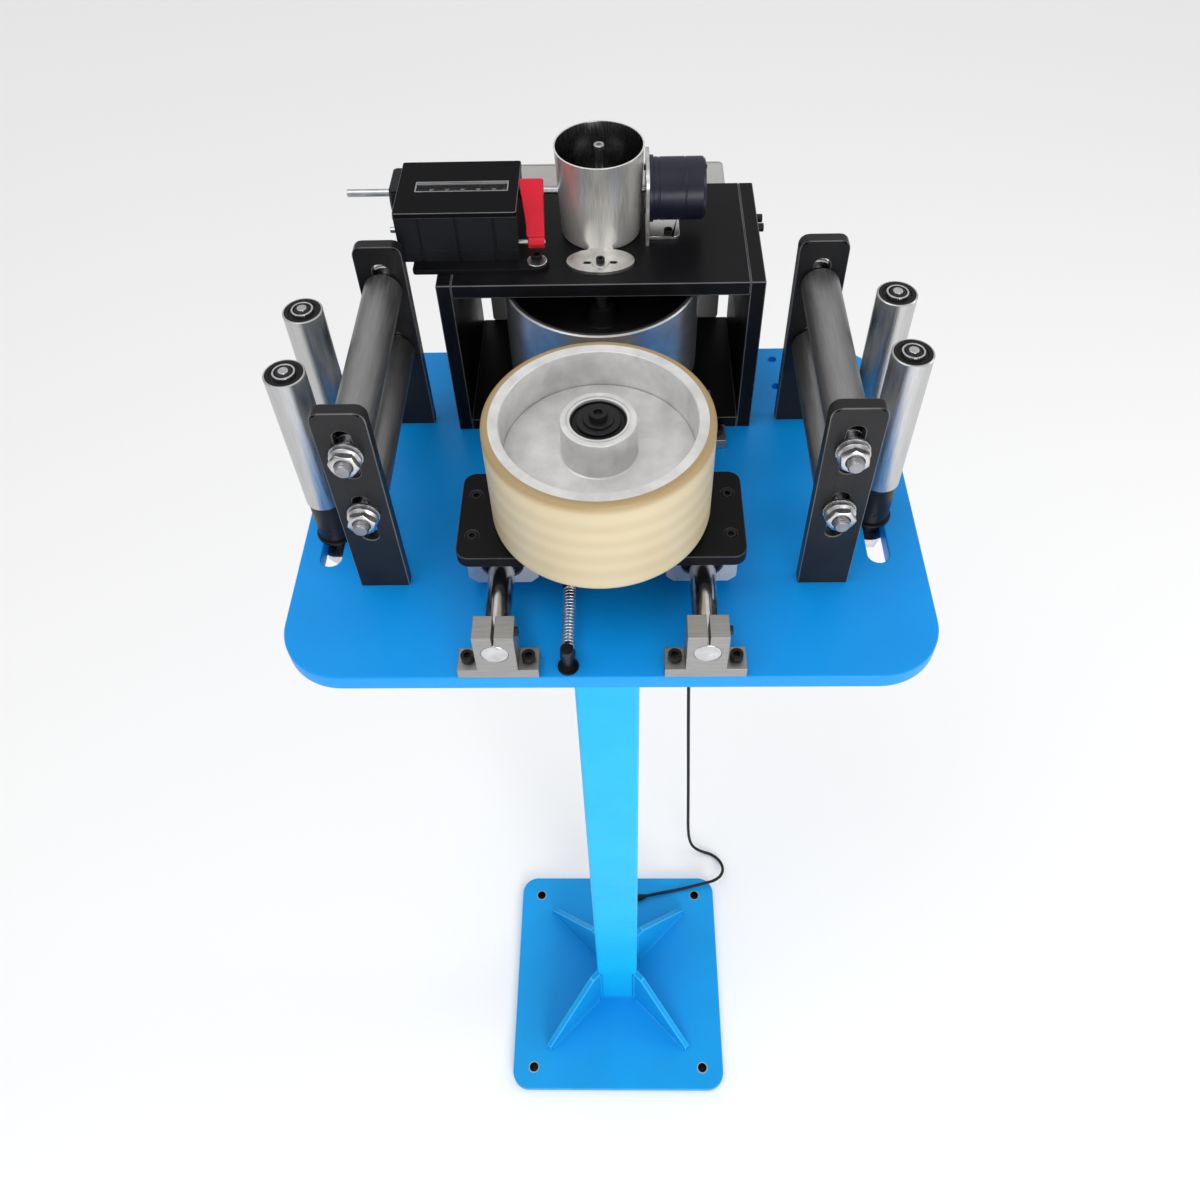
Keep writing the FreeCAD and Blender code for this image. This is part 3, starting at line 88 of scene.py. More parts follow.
def add_camera():
    """The photograph's view: the camera looks down on the table from in front."""
    data = bpy.data.cameras.new("camera")
    data.sensor_width = sensor_width
    data.lens = focal_pixels / image_side * sensor_width
    data.shift_y = (lens_middle_row - image_side / 2) / image_side
    data.clip_start = 10 * mm
    data.clip_end = 50
    forward = Vector((
        math.sin(camera_yaw) * math.cos(camera_pitch),
        math.cos(camera_yaw) * math.cos(camera_pitch),
        -math.sin(camera_pitch),
    ))
    level = Vector((math.cos(camera_yaw), -math.sin(camera_yaw), 0))
    upright = level.cross(forward)
    right = level * math.cos(camera_roll) + upright * math.sin(camera_roll)
    up = upright * math.cos(camera_roll) - level * math.sin(camera_roll)
    camera = bpy.data.objects.new("camera", data)
    bpy.context.scene.collection.objects.link(camera)
    turn = Matrix((right, up, -forward)).transposed().to_4x4()
    camera.matrix_world = Matrix.Translation(camera_place) @ turn
    bpy.context.scene.camera = camera


def add_area_light(name, place, target, size, power):
    data = bpy.data.lights.new(name, "AREA")
    data.shape = "DISK"
    data.size = size
    data.energy = power
    lamp = bpy.data.objects.new(name, data)
    bpy.context.scene.collection.objects.link(lamp)
    lamp.location = place
    lamp.rotation_euler = (Vector(target) - Vector(place)).to_track_quat("-Z", "Y").to_euler()


def add_surround():
    """A soft surround: bright above, darker near the horizon, and pale where the camera sees it."""
    world = bpy.data.worlds.new("surround")
    world.use_nodes = True
    tree = world.node_tree
    place = add_node(tree, "TexCoord")
    parts = add_node(tree, "SeparateXYZ", {"Vector": place.outputs["Generated"]})
    tone = two_tones(tree, parts.outputs["Z"], (0.3, 0.3, 0.31), (1, 1, 1), 0.02, 0.8)
    seen = add_node(tree, "LightPath")
    choice = add_node(tree, "Mix", {
        "Factor": seen.outputs["Is Camera Ray"], "A": tone, "B": (0.92, 0.92, 0.92, 1),
    }, data_type="RGBA")
    sky = tree.nodes["Background"]
    tree.links.new(choice.outputs["Result"], sky.inputs["Color"])
    sky.inputs["Strength"].default_value = 0.95
    bpy.context.scene.world = world


def add_studio():
    """A pale floor, an even pale surround and three large soft lamps."""
    mesh = bpy.data.meshes.new("floor")
    bm = bmesh.new()
    bmesh.ops.create_grid(bm, x_segments=1, y_segments=1, size=12)
    bm.to_mesh(mesh)
    bm.free()
    floor = bpy.data.objects.new("floor", mesh)
    floor.location.z = -0.3 * mm
    bpy.context.scene.collection.objects.link(floor)
    paint, _, shader = new_material("floor_paint", (0.93, 0.93, 0.93), 0, 0.9)
    shader.inputs["Specular IOR Level"].default_value = 0.1
    mesh.materials.append(paint)

    add_surround()
    add_area_light("lamp_above", (-0.9, -0.4, 3.4), (0, 0.1, 1.1), 1.6, 14)
    add_area_light("lamp_front", (0.9, -2.9, 1.5), (0, 0, 0.8), 1.6, 50)
    add_area_light("lamp_right", (2.6, 0.3, 2.0), (0, 0.1, 1.1), 1.0, 10)
    settings = bpy.context.scene.view_settings
    settings.view_transform = "Standard"


# Materials

def new_material(name, colour, metallic, roughness):
    made = bpy.data.materials.new(name)
    made.use_nodes = True
    shader = made.node_tree.nodes["Principled BSDF"]
    shader.inputs["Base Color"].default_value = (*colour, 1)
    shader.inputs["Metallic"].default_value = metallic
    shader.inputs["Roughness"].default_value = roughness
    made.diffuse_color = (*colour, 1)
    return made, made.node_tree, shader


def add_node(tree, kind, values=None, **settings):
    """A shader node with its settings, and a value or a link for each input that is named."""
    node = tree.nodes.new("ShaderNode" + kind)
    for name, value in settings.items():
        setattr(node, name, value)
    for name, value in (values or {}).items():
        if isinstance(value, bpy.types.NodeSocket):
            tree.links.new(value, node.inputs[name])
        else:
            node.inputs[name].default_value = value
    return node


def place_pattern(tree, centre=(0, 0, 0), scale=(1, 1, 1)):
    """Object coordinates, centred and stretched."""
    place = add_node(tree, "TexCoord").outputs["Object"]
    values = {"Vector": place, "Location": centre, "Scale": scale}
    return add_node(tree, "Mapping", values, vector_type="TEXTURE").outputs["Vector"]


def noise(tree, vector, scale, detail, rough=0.55):
    values = {"Vector": vector, "Scale": scale, "Detail": detail, "Roughness": rough}
    return add_node(tree, "TexNoise", values).outputs["Fac"]


def to_range(tree, value, low, high, start, end):
    values = {"Value": value, "From Min": start, "From Max": end, "To Min": low, "To Max": high}
    return add_node(tree, "MapRange", values).outputs["Result"]


def two_tones(tree, value, first, second, start=0.35, end=0.65):
    """A colour that goes from one tone to another with a pattern."""
    ramp = add_node(tree, "ValToRGB", {"Fac": value})
    for stop, place, colour in zip(ramp.color_ramp.elements, (start, end), (first, second)):
        stop.position = place
        stop.color = (*colour, 1)
    return ramp.outputs["Color"]


def bump(tree, height, shader, strength, distance):
    values = {"Height": height, "Strength": strength, "Distance": distance}
    tree.links.new(add_node(tree, "Bump", values).outputs["Normal"], shader.inputs["Normal"])


def tinted(colour, factor):
    return tuple(min(1, c * factor) for c in colour)


def shade(tree, shader, pattern, colour, dark, light):
    """Let the colour wander between a darker and a lighter tone with a pattern."""
    tone = two_tones(tree, pattern, tinted(colour, dark), tinted(colour, light))
    tree.links.new(tone, shader.inputs["Base Color"])


def roughen(tree, shader, pattern, low, high, start=0.3, end=0.7):
    """Let the roughness wander with a pattern."""
    tree.links.new(to_range(tree, pattern, low, high, start, end), shader.inputs["Roughness"])


def powder_coat(name, colour, gloss=0.4):
    """Baked powder paint: an even colour with a fine orange-peel surface."""
    made, tree, shader = new_material(name, colour, 0, gloss)
    vector = place_pattern(tree)
    shade(tree, shader, noise(tree, vector, 6, 2), colour, 0.94, 1.05)
    bump(tree, noise(tree, vector, 900, 2), shader, 0.04, 0.00005)
    roughen(tree, shader, noise(tree, vector, 40, 4), gloss - 0.05, gloss + 0.08)
    shader.inputs["Specular IOR Level"].default_value = 0.2
    shader.inputs["Coat Weight"].default_value = 0.04
    shader.inputs["Coat Roughness"].default_value = 0.15
    return made


def satin_black(name, colour, gloss, shine=0.2):
    """Black anodised or oxidised metal with a faint grain and rubbed patches."""
    made, tree, shader = new_material(name, colour, 0, gloss)
    vector = place_pattern(tree)
    wear = noise(tree, vector, 18, 5)
    shade(tree, shader, wear, colour, 0.8, 1.35)
    bump(tree, noise(tree, vector, 1400, 2), shader, 0.05, 0.00006)
    roughen(tree, shader, wear, gloss - 0.07, gloss + 0.1)
    shader.inputs["Specular IOR Level"].default_value = shine
    return made


def brushed_metal(name, colour, gloss, stretch, rough=0.12, dark=0.8, metallic=1):
    """Ground or drawn metal: fine lines that run in one direction."""
    made, tree, shader = new_material(name, colour, metallic, gloss)
    vector = place_pattern(tree, scale=tuple(1 / s for s in stretch))
    lines = noise(tree, vector, 40, 4, 0.6)
    shade(tree, shader, lines, colour, dark, 1.06)
    roughen(tree, shader, lines, gloss - rough / 2, gloss + rough)
    bump(tree, lines, shader, 0.06, 0.00008)
    return made


def turned_metal(name, colour, gloss, centre, strength, metallic):
    """Metal turned on a lathe: fine rings round the piece's own axis."""
    made, tree, shader = new_material(name, colour, metallic, gloss)
    vector = place_pattern(tree, centre)
    wave = add_node(tree, "TexWave", {
        "Vector": vector, "Scale": 900, "Distortion": 0.6, "Detail": 2,
    }, wave_type="RINGS", rings_direction="Z")
    rings = wave.outputs["Fac"]
    shade(tree, shader, noise(tree, vector, 60, 4), colour, 0.86, 1.06)
    roughen(tree, shader, rings, gloss - 0.04, gloss + 0.1, 0, 1)
    bump(tree, rings, shader, strength, 0.00006)
    return made


def bright_metal(name, colour, gloss):
    """Zinc-plated or hardened metal with faint handling marks."""
    made, tree, shader = new_material(name, colour, 1, gloss)
    marks = noise(tree, place_pattern(tree), 120, 5)
    shade(tree, shader, marks, colour, 0.82, 1.05)
    roughen(tree, shader, marks, gloss - 0.03, gloss + 0.09)
    return made


def moulded(name, colour, gloss, grain=700, depth=0.06, shine=0.25):
    """Moulded plastic or cast rubber with a fine texture."""
    made, tree, shader = new_material(name, colour, 0, gloss)
    shader.inputs["Specular IOR Level"].default_value = shine
    vector = place_pattern(tree)
    cloud = noise(tree, vector, 25, 4)
    shade(tree, shader, cloud, colour, 0.9, 1.08)
    bump(tree, noise(tree, vector, grain, 2), shader, depth, 0.00012)
    roughen(tree, shader, cloud, gloss - 0.04, gloss + 0.08)
    return made


def cast_tyre(name, cream, amber):
    """Cast polyurethane: faint moulding bands, and amber where its edges are thin."""
    made, tree, shader = new_material(name, cream, 0, 0.42)
    low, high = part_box("press_wheel_tyre")
    vector = place_pattern(tree, (0, 0, low.z), (1, 1, high.z - low.z))
    parts = add_node(tree, "SeparateXYZ", {"Vector": vector})
    ramp = add_node(tree, "ValToRGB", {"Fac": parts.outputs["Z"]})
    stops = ramp.color_ramp.elements
    stops[0].color = (*amber, 1)
    for place, colour in ((0.04, tinted(cream, 1.02)), (0.91, cream), (0.975, amber)):
        stops.new(place).color = (*colour, 1)
    stops[-1].color = (*tinted(amber, 0.85), 1)
    bands = add_node(tree, "TexWave", {
        "Vector": vector, "Scale": 1.7, "Distortion": 3.2, "Detail": 2, "Detail Scale": 0.9,
    }, wave_type="BANDS", bands_direction="Z")
    streaks = two_tones(tree, bands.outputs["Fac"], (0.93, 0.91, 0.87), (1, 1, 1), 0.1, 0.95)
    mixed = add_node(tree, "Mix", {
        "Factor": 1, "A": ramp.outputs["Color"], "B": streaks,
    }, data_type="RGBA", blend_type="MULTIPLY")
    tree.links.new(mixed.outputs["Result"], shader.inputs["Base Color"])
    plain = place_pattern(tree)
    roughen(tree, shader, noise(tree, plain, 30, 4), 0.36, 0.5)
    bump(tree, noise(tree, plain, 500, 2), shader, 0.1, 0.00012)
    shader.inputs["Subsurface Weight"].default_value = 0.12
    shader.inputs["Subsurface Radius"].default_value = (0.004, 0.003, 0.0015)
    return made


def clear_pane(name):
    """The clear window over the numerals."""
    made, tree, shader = new_material(name, (0.05, 0.055, 0.06), 0, 0.05)
    shader.inputs["Alpha"].default_value = 0.16
    shader.inputs["Specular IOR Level"].default_value = 0.2
    roughen(tree, shader, noise(tree, place_pattern(tree), 90, 3), 0.03, 0.12)
    return made


finishes = {}


def mix_finishes():
    """Every material of the machine, by the name of its finish."""
    press_middle = middle_of("press_wheel_tyre") * mm
    wheel_middle = middle_of("measuring_wheel") * mm
    for make, looks in (
        (powder_coat, {
            "table_blue": [(0.002, 0.3, 0.82)],
            "column_blue": [(0.003, 0.46, 0.86)],
            "base_blue": [(0.003, 0.31, 0.72)],
            # Lighter blue for the broken edges of the gussets: a painted highlight.
            "edge_blue": [(0.05, 0.5, 0.9)],
            "box_grey": [(0.42, 0.415, 0.4), 0.42],
        }),
        (satin_black, {
            "frame_black": [(0.006, 0.006, 0.007), 0.38, 0.1],
            "upright_black": [(0.013, 0.013, 0.014), 0.3],
            "oxide_black": [(0.007, 0.007, 0.008), 0.34, 0.25],
            "encoder_black": [(0.01, 0.01, 0.022), 0.28, 0.28],
            "post_black": [(0.014, 0.014, 0.016), 0.36],
            "wheel_dark": [(0.02, 0.02, 0.022), 0.34],
            "carriage_black": [(0.005, 0.005, 0.006), 0.42, 0.12],
            # Lighter grey for the broken edges of black parts: partly rubbed wear, partly a painted
            # highlight.
            "edge_grey": [(0.1, 0.1, 0.105), 0.3],
            # A slightly lighter black for the carriage plate's broken edges: partly rubbed wear,
            # partly a painted highlight.
            "edge_dim": [(0.035, 0.035, 0.037), 0.32],
            # A pale grey for the rims of the anchor holes and of the counter's window: a painted
            # highlight.
            "rim_pale": [(0.3, 0.3, 0.3), 0.4],
        }),
        (brushed_metal, {
            "roller_steel_y": [(0.31, 0.31, 0.31), 0.4, (60, 1, 60)],
            "roller_steel_z": [(0.57, 0.57, 0.57), 0.33, (60, 60, 1)],
            "support_aluminium": [(0.36, 0.355, 0.35), 0.42, (1, 30, 30)],
            "block_aluminium": [(0.62, 0.62, 0.62), 0.42, (30, 1, 30), 0.12, 0.8, 0.5],
            "cup_steel": [(0.8, 0.785, 0.75), 0.34, (30, 30, 1), 0.08, 0.93, 0.8],
            # A darker copy of the cup's steel for its inside: painted shade.
            "cup_inside": [(0.2, 0.2, 0.2), 0.24, (60, 60, 1)],
        }),
        (turned_metal, {
            "hub_aluminium": [(0.68, 0.675, 0.665), 0.34, press_middle, 0.1, 0.4],
            "wheel_steel": [(0.6, 0.6, 0.61), 0.34, wheel_middle, 0.02, 0.92],
        }),
        (bright_metal, {
            "shaft_chrome": [(0.6, 0.6, 0.61), 0.14],
            "axle_zinc": [(0.6, 0.6, 0.61), 0.26],
            "thread_zinc": [(0.32, 0.32, 0.33), 0.34],
            "ear_zinc": [(0.7, 0.69, 0.67), 0.32],
            "bearing_steel": [(0.55, 0.55, 0.56), 0.24],
            "gear_steel": [(0.5, 0.5, 0.5), 0.3],
            "spring_wire": [(0.72, 0.72, 0.72), 0.2],
        }),
        (moulded, {
            "bearing_shield": [(0.006, 0.006, 0.007), 0.4, 700, 0.06, 0.2],
            "lid_black": [(0.004, 0.004, 0.005), 0.4, 900, 0.05, 0.05],
            "case_black": [(0.008, 0.009, 0.011), 0.38, 900, 0.06, 0.2],
            "number_black": [(0.008, 0.008, 0.008), 0.3],
            "numeral_white": [(0.85, 0.85, 0.83), 0.4],
            "lever_red": [(0.56, 0.008, 0.025), 0.34, 900, 0.04],
            "cable_black": [(0.012, 0.012, 0.013), 0.48],
        }),
        (cast_tyre, {"tyre_cream": [(0.62, 0.53, 0.35), (0.43, 0.31, 0.15)]}),
        (clear_pane, {"window_clear": []}),
    ):
        for name, look in looks.items():
            finishes[name] = make(name, *look)


# Helpers for pieces


def extent(node):
    """The lowest and highest corners of a CAD node, in millimetres."""
    return [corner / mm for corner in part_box(node)]


def middle_of(node):
    low, high = extent(node)
    return (low + high) / 2


def body_of(node):
    return nodes[node]["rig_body"]


def add_piece(name, data, finish_names, node=None, body=None, rides=True):
    """Put a shape into the scene, in the place of a CAD node or beside the nodes of a body."""
    piece = bpy.data.objects.new(name, data)
    bpy.context.scene.collection.objects.link(piece)
    for one in finish_names:
        data.materials.append(finishes[one])
    if rides:
        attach(piece, body or body_of(node))
    if node:
        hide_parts(node)
    return piece


def soften_edges(piece, width, segments=2):
    """Round the sharp edges of a piece narrowly, or leave them crisp where the width is 0."""
    sharp_angle = math.radians(35)
    for face in piece.data.polygons:
        face.use_smooth = True
    if width:
        edge = piece.modifiers.new("edges", "BEVEL")
        edge.width = width
        edge.segments = segments
        edge.limit_method = "ANGLE"
        edge.angle_limit = sharp_angle
        edge.use_clamp_overlap = False
        edge.harden_normals = True
    else:
        piece.data.set_sharp_from_angle(angle=sharp_angle)


def dress(node, finish, width):
    """Stand a copy of a CAD node in its place, with softened edges and a finish."""
    mesh = nodes[node].data.copy()
    mesh.name = node + "_dressed"
    mesh.materials.clear()
    merge_distance = 0.002 * mm
    flat_angle = math.radians(0.5)
    bm = bmesh.new()
    bm.from_mesh(mesh)
    bmesh.ops.remove_doubles(bm, verts=bm.verts, dist=merge_distance)
    bmesh.ops.dissolve_limit(bm, angle_limit=flat_angle, verts=bm.verts, edges=bm.edges)
    bm.to_mesh(mesh)
    bm.free()
    for name in ("custom_normal", "sharp_edge", "sharp_face"):
        if name in mesh.attributes:
            mesh.attributes.remove(mesh.attributes[name])
    piece = add_piece(node + "_dressed", mesh, [finish], node)
    soften_edges(piece, width)
    return piece


# Parts, modelled in millimetres and put together into pieces in metres

def only(items, kind):
    """The items of one kind, such as the new vertices of an extrusion."""
    return [item for item in items if isinstance(item, kind)]


def everything(part):
    return part.verts[:] + part.edges[:] + part.faces[:]


def placed(part, foot, along=UP, turn=0):
    """Turn a part that stands on the origin so that it stands on a foot, along an axis."""
    lay = Vector(along).to_track_quat("Z", "Y").to_matrix().to_4x4()
    whole = Matrix.Translation(Vector(foot)) @ lay @ Matrix.Rotation(turn, 4, "Z")
    bmesh.ops.transform(part, matrix=whole, verts=part.verts)
    return part


def turned(profile, foot=(0, 0, 0), along=UP, steps=64, rounding=()):
    """Spin an outline of (radius, height) pairs; rounding holds (corner, radius) pairs."""
    part = bmesh.new()
    line = [part.verts.new((radius, 0, height)) for radius, height in profile]
    for first, second in zip(line, line[1:] + line[:1]):
        if first.co.x > 0 or second.co.x > 0:
            part.edges.new((first, second))
    for corner, radius in rounding:
        bmesh.ops.bevel(
            part, geom=[line[corner]], offset=radius, offset_type="OFFSET", segments=4,
            profile=0.5, affect="VERTICES", material=-1,
        )
    bmesh.ops.spin(
        part, geom=part.verts[:] + part.edges[:], cent=(0, 0, 0), axis=(0, 0, 1),
        dvec=(0, 0, 0), angle=2 * math.pi, steps=steps, use_merge=True, use_duplicate=False,
    )
    bmesh.ops.remove_doubles(part, verts=part.verts, dist=0.001)
    bmesh.ops.recalc_face_normals(part, faces=part.faces)
    return placed(part, foot, along)


def bar(radius, length, foot, along=UP):
    """A plain round bar."""
    return turned([(0, 0), (radius, 0), (radius, length), (0, length)], foot, along)


def sleeve(inner, outer, start, end, foot, along=UP):
    """A plain round tube that lies between two distances from its foot."""
    return turned([(inner, start), (outer, start), (outer, end), (inner, end)], foot, along)


def outline(part, points, rounding):
    """A closed line of corners in the flat, each rounded by the same radius."""
    corners = [part.verts.new((x, y, 0)) for x, y in points]
    for first, second in zip(corners, corners[1:] + corners[:1]):
        part.edges.new((first, second))
    if rounding:
        bmesh.ops.bevel(
            part, geom=corners, offset=rounding, offset_type="OFFSET", segments=5,
            profile=0.5, affect="VERTICES", material=-1,
        )


def oblong(low_x, high_x, low_y, high_y):
    return [(low_x, low_y), (high_x, low_y), (high_x, high_y), (low_x, high_y)]


def raised(part, low, high):
    """Fill the closed lines of a flat part and give it its thickness."""
    bmesh.ops.triangle_fill(part, use_beauty=True, use_dissolve=False, edges=part.edges[:])
    lifted = bmesh.ops.extrude_face_region(part, geom=part.faces[:])["geom"]
    bmesh.ops.translate(part, verts=only(lifted, bmesh.types.BMVert), vec=(0, 0, high - low))
    bmesh.ops.recalc_face_normals(part, faces=part.faces)
    bmesh.ops.translate(part, verts=part.verts, vec=(0, 0, low))
    return part


def cut_plate(lines, low, high, circles=()):
    """A flat plate from closed lines (points, rounding) with round holes (x, y, radius)."""
    part = bmesh.new()
    for points, rounding in lines:
        outline(part, points, rounding)
    for x, y, radius in circles:
        bmesh.ops.create_circle(
            part, cap_ends=False, segments=32, radius=radius, matrix=Matrix.Translation((x, y, 0))
        )
    return raised(part, low, high)


def flats(part, radius, top, chamfer):
    """Draw the wall of a 24-sided ring out to six flats, with the corners chamfered."""
    for vert in part.verts:
        reach = math.hypot(vert.co.x, vert.co.y)
        if abs(reach - radius) > 0.01:
            continue
        angle = math.degrees(math.atan2(vert.co.y, vert.co.x))
        share = 1 / math.cos(math.radians((angle + 30) % 60 - 30))
        vert.co.x *= share
        vert.co.y *= share
        if chamfer:
            fall = radius * (share - chamfer) * math.tan(math.radians(30))
            vert.co.z = top - fall if vert.co.z > top / 2 else fall


def fluted(part, reach, step, every, share):
    """Press one corner in every few inwards, on the wall beyond a radius."""
    for vert in part.verts:
        corner = round(math.degrees(math.atan2(vert.co.y, vert.co.x)) / step)
        if math.hypot(vert.co.x, vert.co.y) > reach and corner % every == 0:
            vert.co.x *= share
            vert.co.y *= share


def hex_nut(across, height, bore, foot, along, turn):
    """A six-sided nut with its corners and its bore chamfered."""
    flat = across / 2
    chamfer = 0.95
    part = turned([
        (bore, 0.7), (bore + 0.7, 0), (flat * chamfer, 0), (flat, 0.3),
        (flat, height - 0.3), (flat * chamfer, height), (bore + 0.7, height), (bore, height - 0.7),
    ], steps=24)
    flats(part, flat, height, chamfer)
    return placed(part, foot, along, turn)


def socket_head(diameter, height, foot, along, turn=0):
    """A cap screw's head with its six-sided socket."""
    outer = diameter / 2
    hollow = outer * 0.46
    part = turned([
        (0, height * 0.45), (hollow, height * 0.45), (hollow, height), (outer - 0.4, height),
        (outer, height - 0.4), (outer, 0), (0, 0),
    ], steps=24)
    flats(part, hollow, height, 0)
    return placed(part, foot, along, turn)


def ring(outer, inner, height, foot, along, edge=0.3):
    """A flat ring with its outer edges broken."""
    return turned([
        (inner, 0), (outer - edge, 0), (outer, edge), (outer, height - edge),
        (outer - edge, height), (inner, height),
    ], foot, along, 48)


def rod_end(radius, length, foot, along, pitch=1.5):
    """A bar's threaded end with its tip chamfered."""
    root = radius - pitch * 0.4
    tip = 1
    profile = [(0, 0)]
    for k in range(max(1, int((length - tip) / pitch))):
        profile += [(root, k * pitch), (radius, (k + 0.5) * pitch)]
    profile += [(root, length - tip), (radius - 1.2, length), (0, length)]
    return turned(profile, foot, along, 32)


def weld_bead(start, end, radius):
    """A rippled bead along a corner."""
    ripple = 2.4
    widest = 1.22
    run = end - start
    count = max(2, round(run.length / ripple)) * 2
    part = bmesh.new()
    bmesh.ops.create_circle(part, cap_ends=True, segments=8, radius=radius * 0.8)
    loop = part.edges[:]
    for k in range(count):
        grown = bmesh.ops.extrude_edge_only(part, edges=loop)["geom"]
        verts = only(grown, bmesh.types.BMVert)
        edges = only(grown, bmesh.types.BMEdge)
        loop = [edge for edge in edges if all(vert in verts for vert in edge.verts)]
        swell = widest if k % 2 == 0 else 1 / widest
        bmesh.ops.scale(part, vec=(swell, swell, 1), verts=verts)
        bmesh.ops.translate(part, verts=verts, vec=(0, 0, run.length / count))
    bmesh.ops.holes_fill(part, edges=loop)
    bmesh.ops.recalc_face_normals(part, faces=part.faces)
    return placed(part, start, run)


def assembled(name, parts):
    """Join parts into one mesh in metres; each has its finish's number, or None if its faces do."""
    whole = bmesh.new()
    for part, finish in parts:
        for face in part.faces:
            if finish is not None:
                face.material_index = finish
            face.smooth = True
        mesh = bpy.data.meshes.new("part")
        part.to_mesh(mesh)
        part.free()
        whole.from_mesh(mesh)
        bpy.data.meshes.remove(mesh)
    bmesh.ops.scale(whole, vec=(mm, mm, mm), verts=whole.verts)
    mesh = bpy.data.meshes.new(name)
    whole.to_mesh(mesh)
    whole.free()
    return mesh


def build(name, parts, finish_names, node=None, body=None, width=0.25, segments=2):
    """A new piece, in the place of a CAD node or beside the nodes of a body."""
    piece = add_piece(name, assembled(name, parts), finish_names, node, body)
    soften_edges(piece, width * mm, segments)
    return piece


def bevel_with(piece, finish):
    """Give the broken edges of a piece a lighter finish, which paints a highlight along the edges
    and, on black parts, also stands for rubbed wear.
    """
    piece.data.materials.append(finishes[finish])
    piece.modifiers["edges"].material = len(piece.data.materials) - 1


# Output cable, from the gland down to the floor and over the base plate

cable_diameter = 5 * mm
cable_route = [
    (98.1, 299.8, 1040.0),
    (98.4, 299.0, 980.0),
    (98.9, 297.6, 912.0),
    (99.7, 295.4, 841.0),
    (100.8, 292.2, 769.0),
    (102.2, 288.2, 697.0),
    (103.8, 283.4, 626.0),
    (105.6, 277.8, 555.0),
    (107.6, 271.6, 485.0),
    (109.9, 264.8, 415.0),
    (112.3, 257.4, 345.0),
    (114.8, 249.8, 276.0),
    (117.2, 242.0, 208.0),
    (119.4, 234.6, 142.0),
    (121.2, 228.0, 84.0),
    (124.0, 222.8, 46.0),
    (131.0, 218.8, 19.5),
    (146.2, 216.0, 5.4),
    (164.6, 212.0, 3.0),
    (178.4, 200.6, 3.8),
    (183.8, 183.6, 9.2),
    (178.4, 167.4, 16.4),
    (164.4, 156.2, 21.6),
    (146.2, 152.0, 21.8),
    (127.6, 148.2, 18.4),
    (110.0, 145.0, 15.3),
    (93.0, 141.4, 15.4),
    (77.0, 137.8, 17.6),
    (62.0, 134.4, 18.8),
    (48.0, 131.2, 18.8),
]


def make_cable():
    """The free cable: one smooth curve along its route."""
    gland_low, gland_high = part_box("cable_gland")
    gland = (gland_low + gland_high) / 2
    exit_point = Vector((gland.x, gland.y, gland_low.z))
    points = [exit_point] + [Vector(p) * mm for p in cable_route]
    curve = bpy.data.curves.new("output_cable_jacket", "CURVE")
    curve.dimensions = "3D"
    curve.bevel_depth = cable_diameter / 2
    curve.bevel_resolution = 5
    curve.resolution_u = 6
    curve.use_fill_caps = True
    spline = curve.splines.new("NURBS")
    spline.points.add(len(points) - 1)
    for target, place in zip(spline.points, points):
        target.co = (*place, 1)
    spline.order_u = 3
    spline.use_endpoint_u = True
    cable = add_piece("output_cable_jacket", curve, ["cable_black"], "output_cable")
    plug = make_plug()


# Base and column

def make_weld_beads():
    """Beads along the gussets' feet and edges, and round the column's foot and head."""
    floor_z = extent("base_plate")[1].z
    gusset_top = extent("base_gussets")[1].z
    head_low = extent("head_flange")[0].z
    half = extent("column")[1].x
    near = half * math.sqrt(2) + 2
    reach = near + 104
    gusset_half = 4
    wide, narrow = 3.1, 2.6
    beads = []
    for k in range(4):
        quarter = Matrix.Rotation(math.radians(45 + 90 * k), 3, "Z")
        for side in (-1, 1):
            across = side * gusset_half
            foot_in = quarter @ Vector((near, across, floor_z))
            foot_out = quarter @ Vector((reach, across, floor_z))
            top = quarter @ Vector((near - 4, across, gusset_top - 2))
            low = quarter @ Vector((near - 4, across, floor_z))
            beads.append((weld_bead(foot_in, foot_out, wide), 0))
            beads.append((weld_bead(low, top, narrow), 0))
        edge = Matrix.Rotation(math.radians(90 * k), 3, "Z")
        for level in (floor_z, head_low):
            first = edge @ Vector((half, -half + 5, level))
            last = edge @ Vector((half, half - 5, level))
            beads.append((weld_bead(first, last, wide), 0))
    build("weld_beads", beads, ["base_blue"], body="stand", width=0)


def make_hole_shade_and_highlight():
    """The anchor holes: a pale ring on top as a painted highlight, a near-black wall as painted
    shade and a near-black cover on the floor side as a painted shadow.
    """
    top = extent("base_plate")[1].z
    anchor_x, anchor_y = 130.5, 135
    hole, lining = 7, 6.8
    rim = [(lining, 0), (8.2, 0), (8, 0.15), (lining, 0.15)]
    parts = []
    for x in (-anchor_x, anchor_x):
        for y in (-anchor_y, anchor_y):
            # A near-black wall inside each hole: painted shade.
            parts.append((sleeve(lining, hole, 0.2, top - 0.1, (x, y, 0)), 0))
            # A near-black disc low in each hole: a painted shadow where the floor would show
            # through.
            parts.append((sleeve(0, lining, 0.1, 0.5, (x, y, 0)), 0))
            # A pale ring round each hole's top edge: a painted highlight.
            parts.append((turned(rim, (x, y, top - 0.05)), 1))
    build("anchor_hole_shade_and_highlight", parts, ["bearing_shield", "rim_pale"], body="stand", width=0)


# Guide rollers

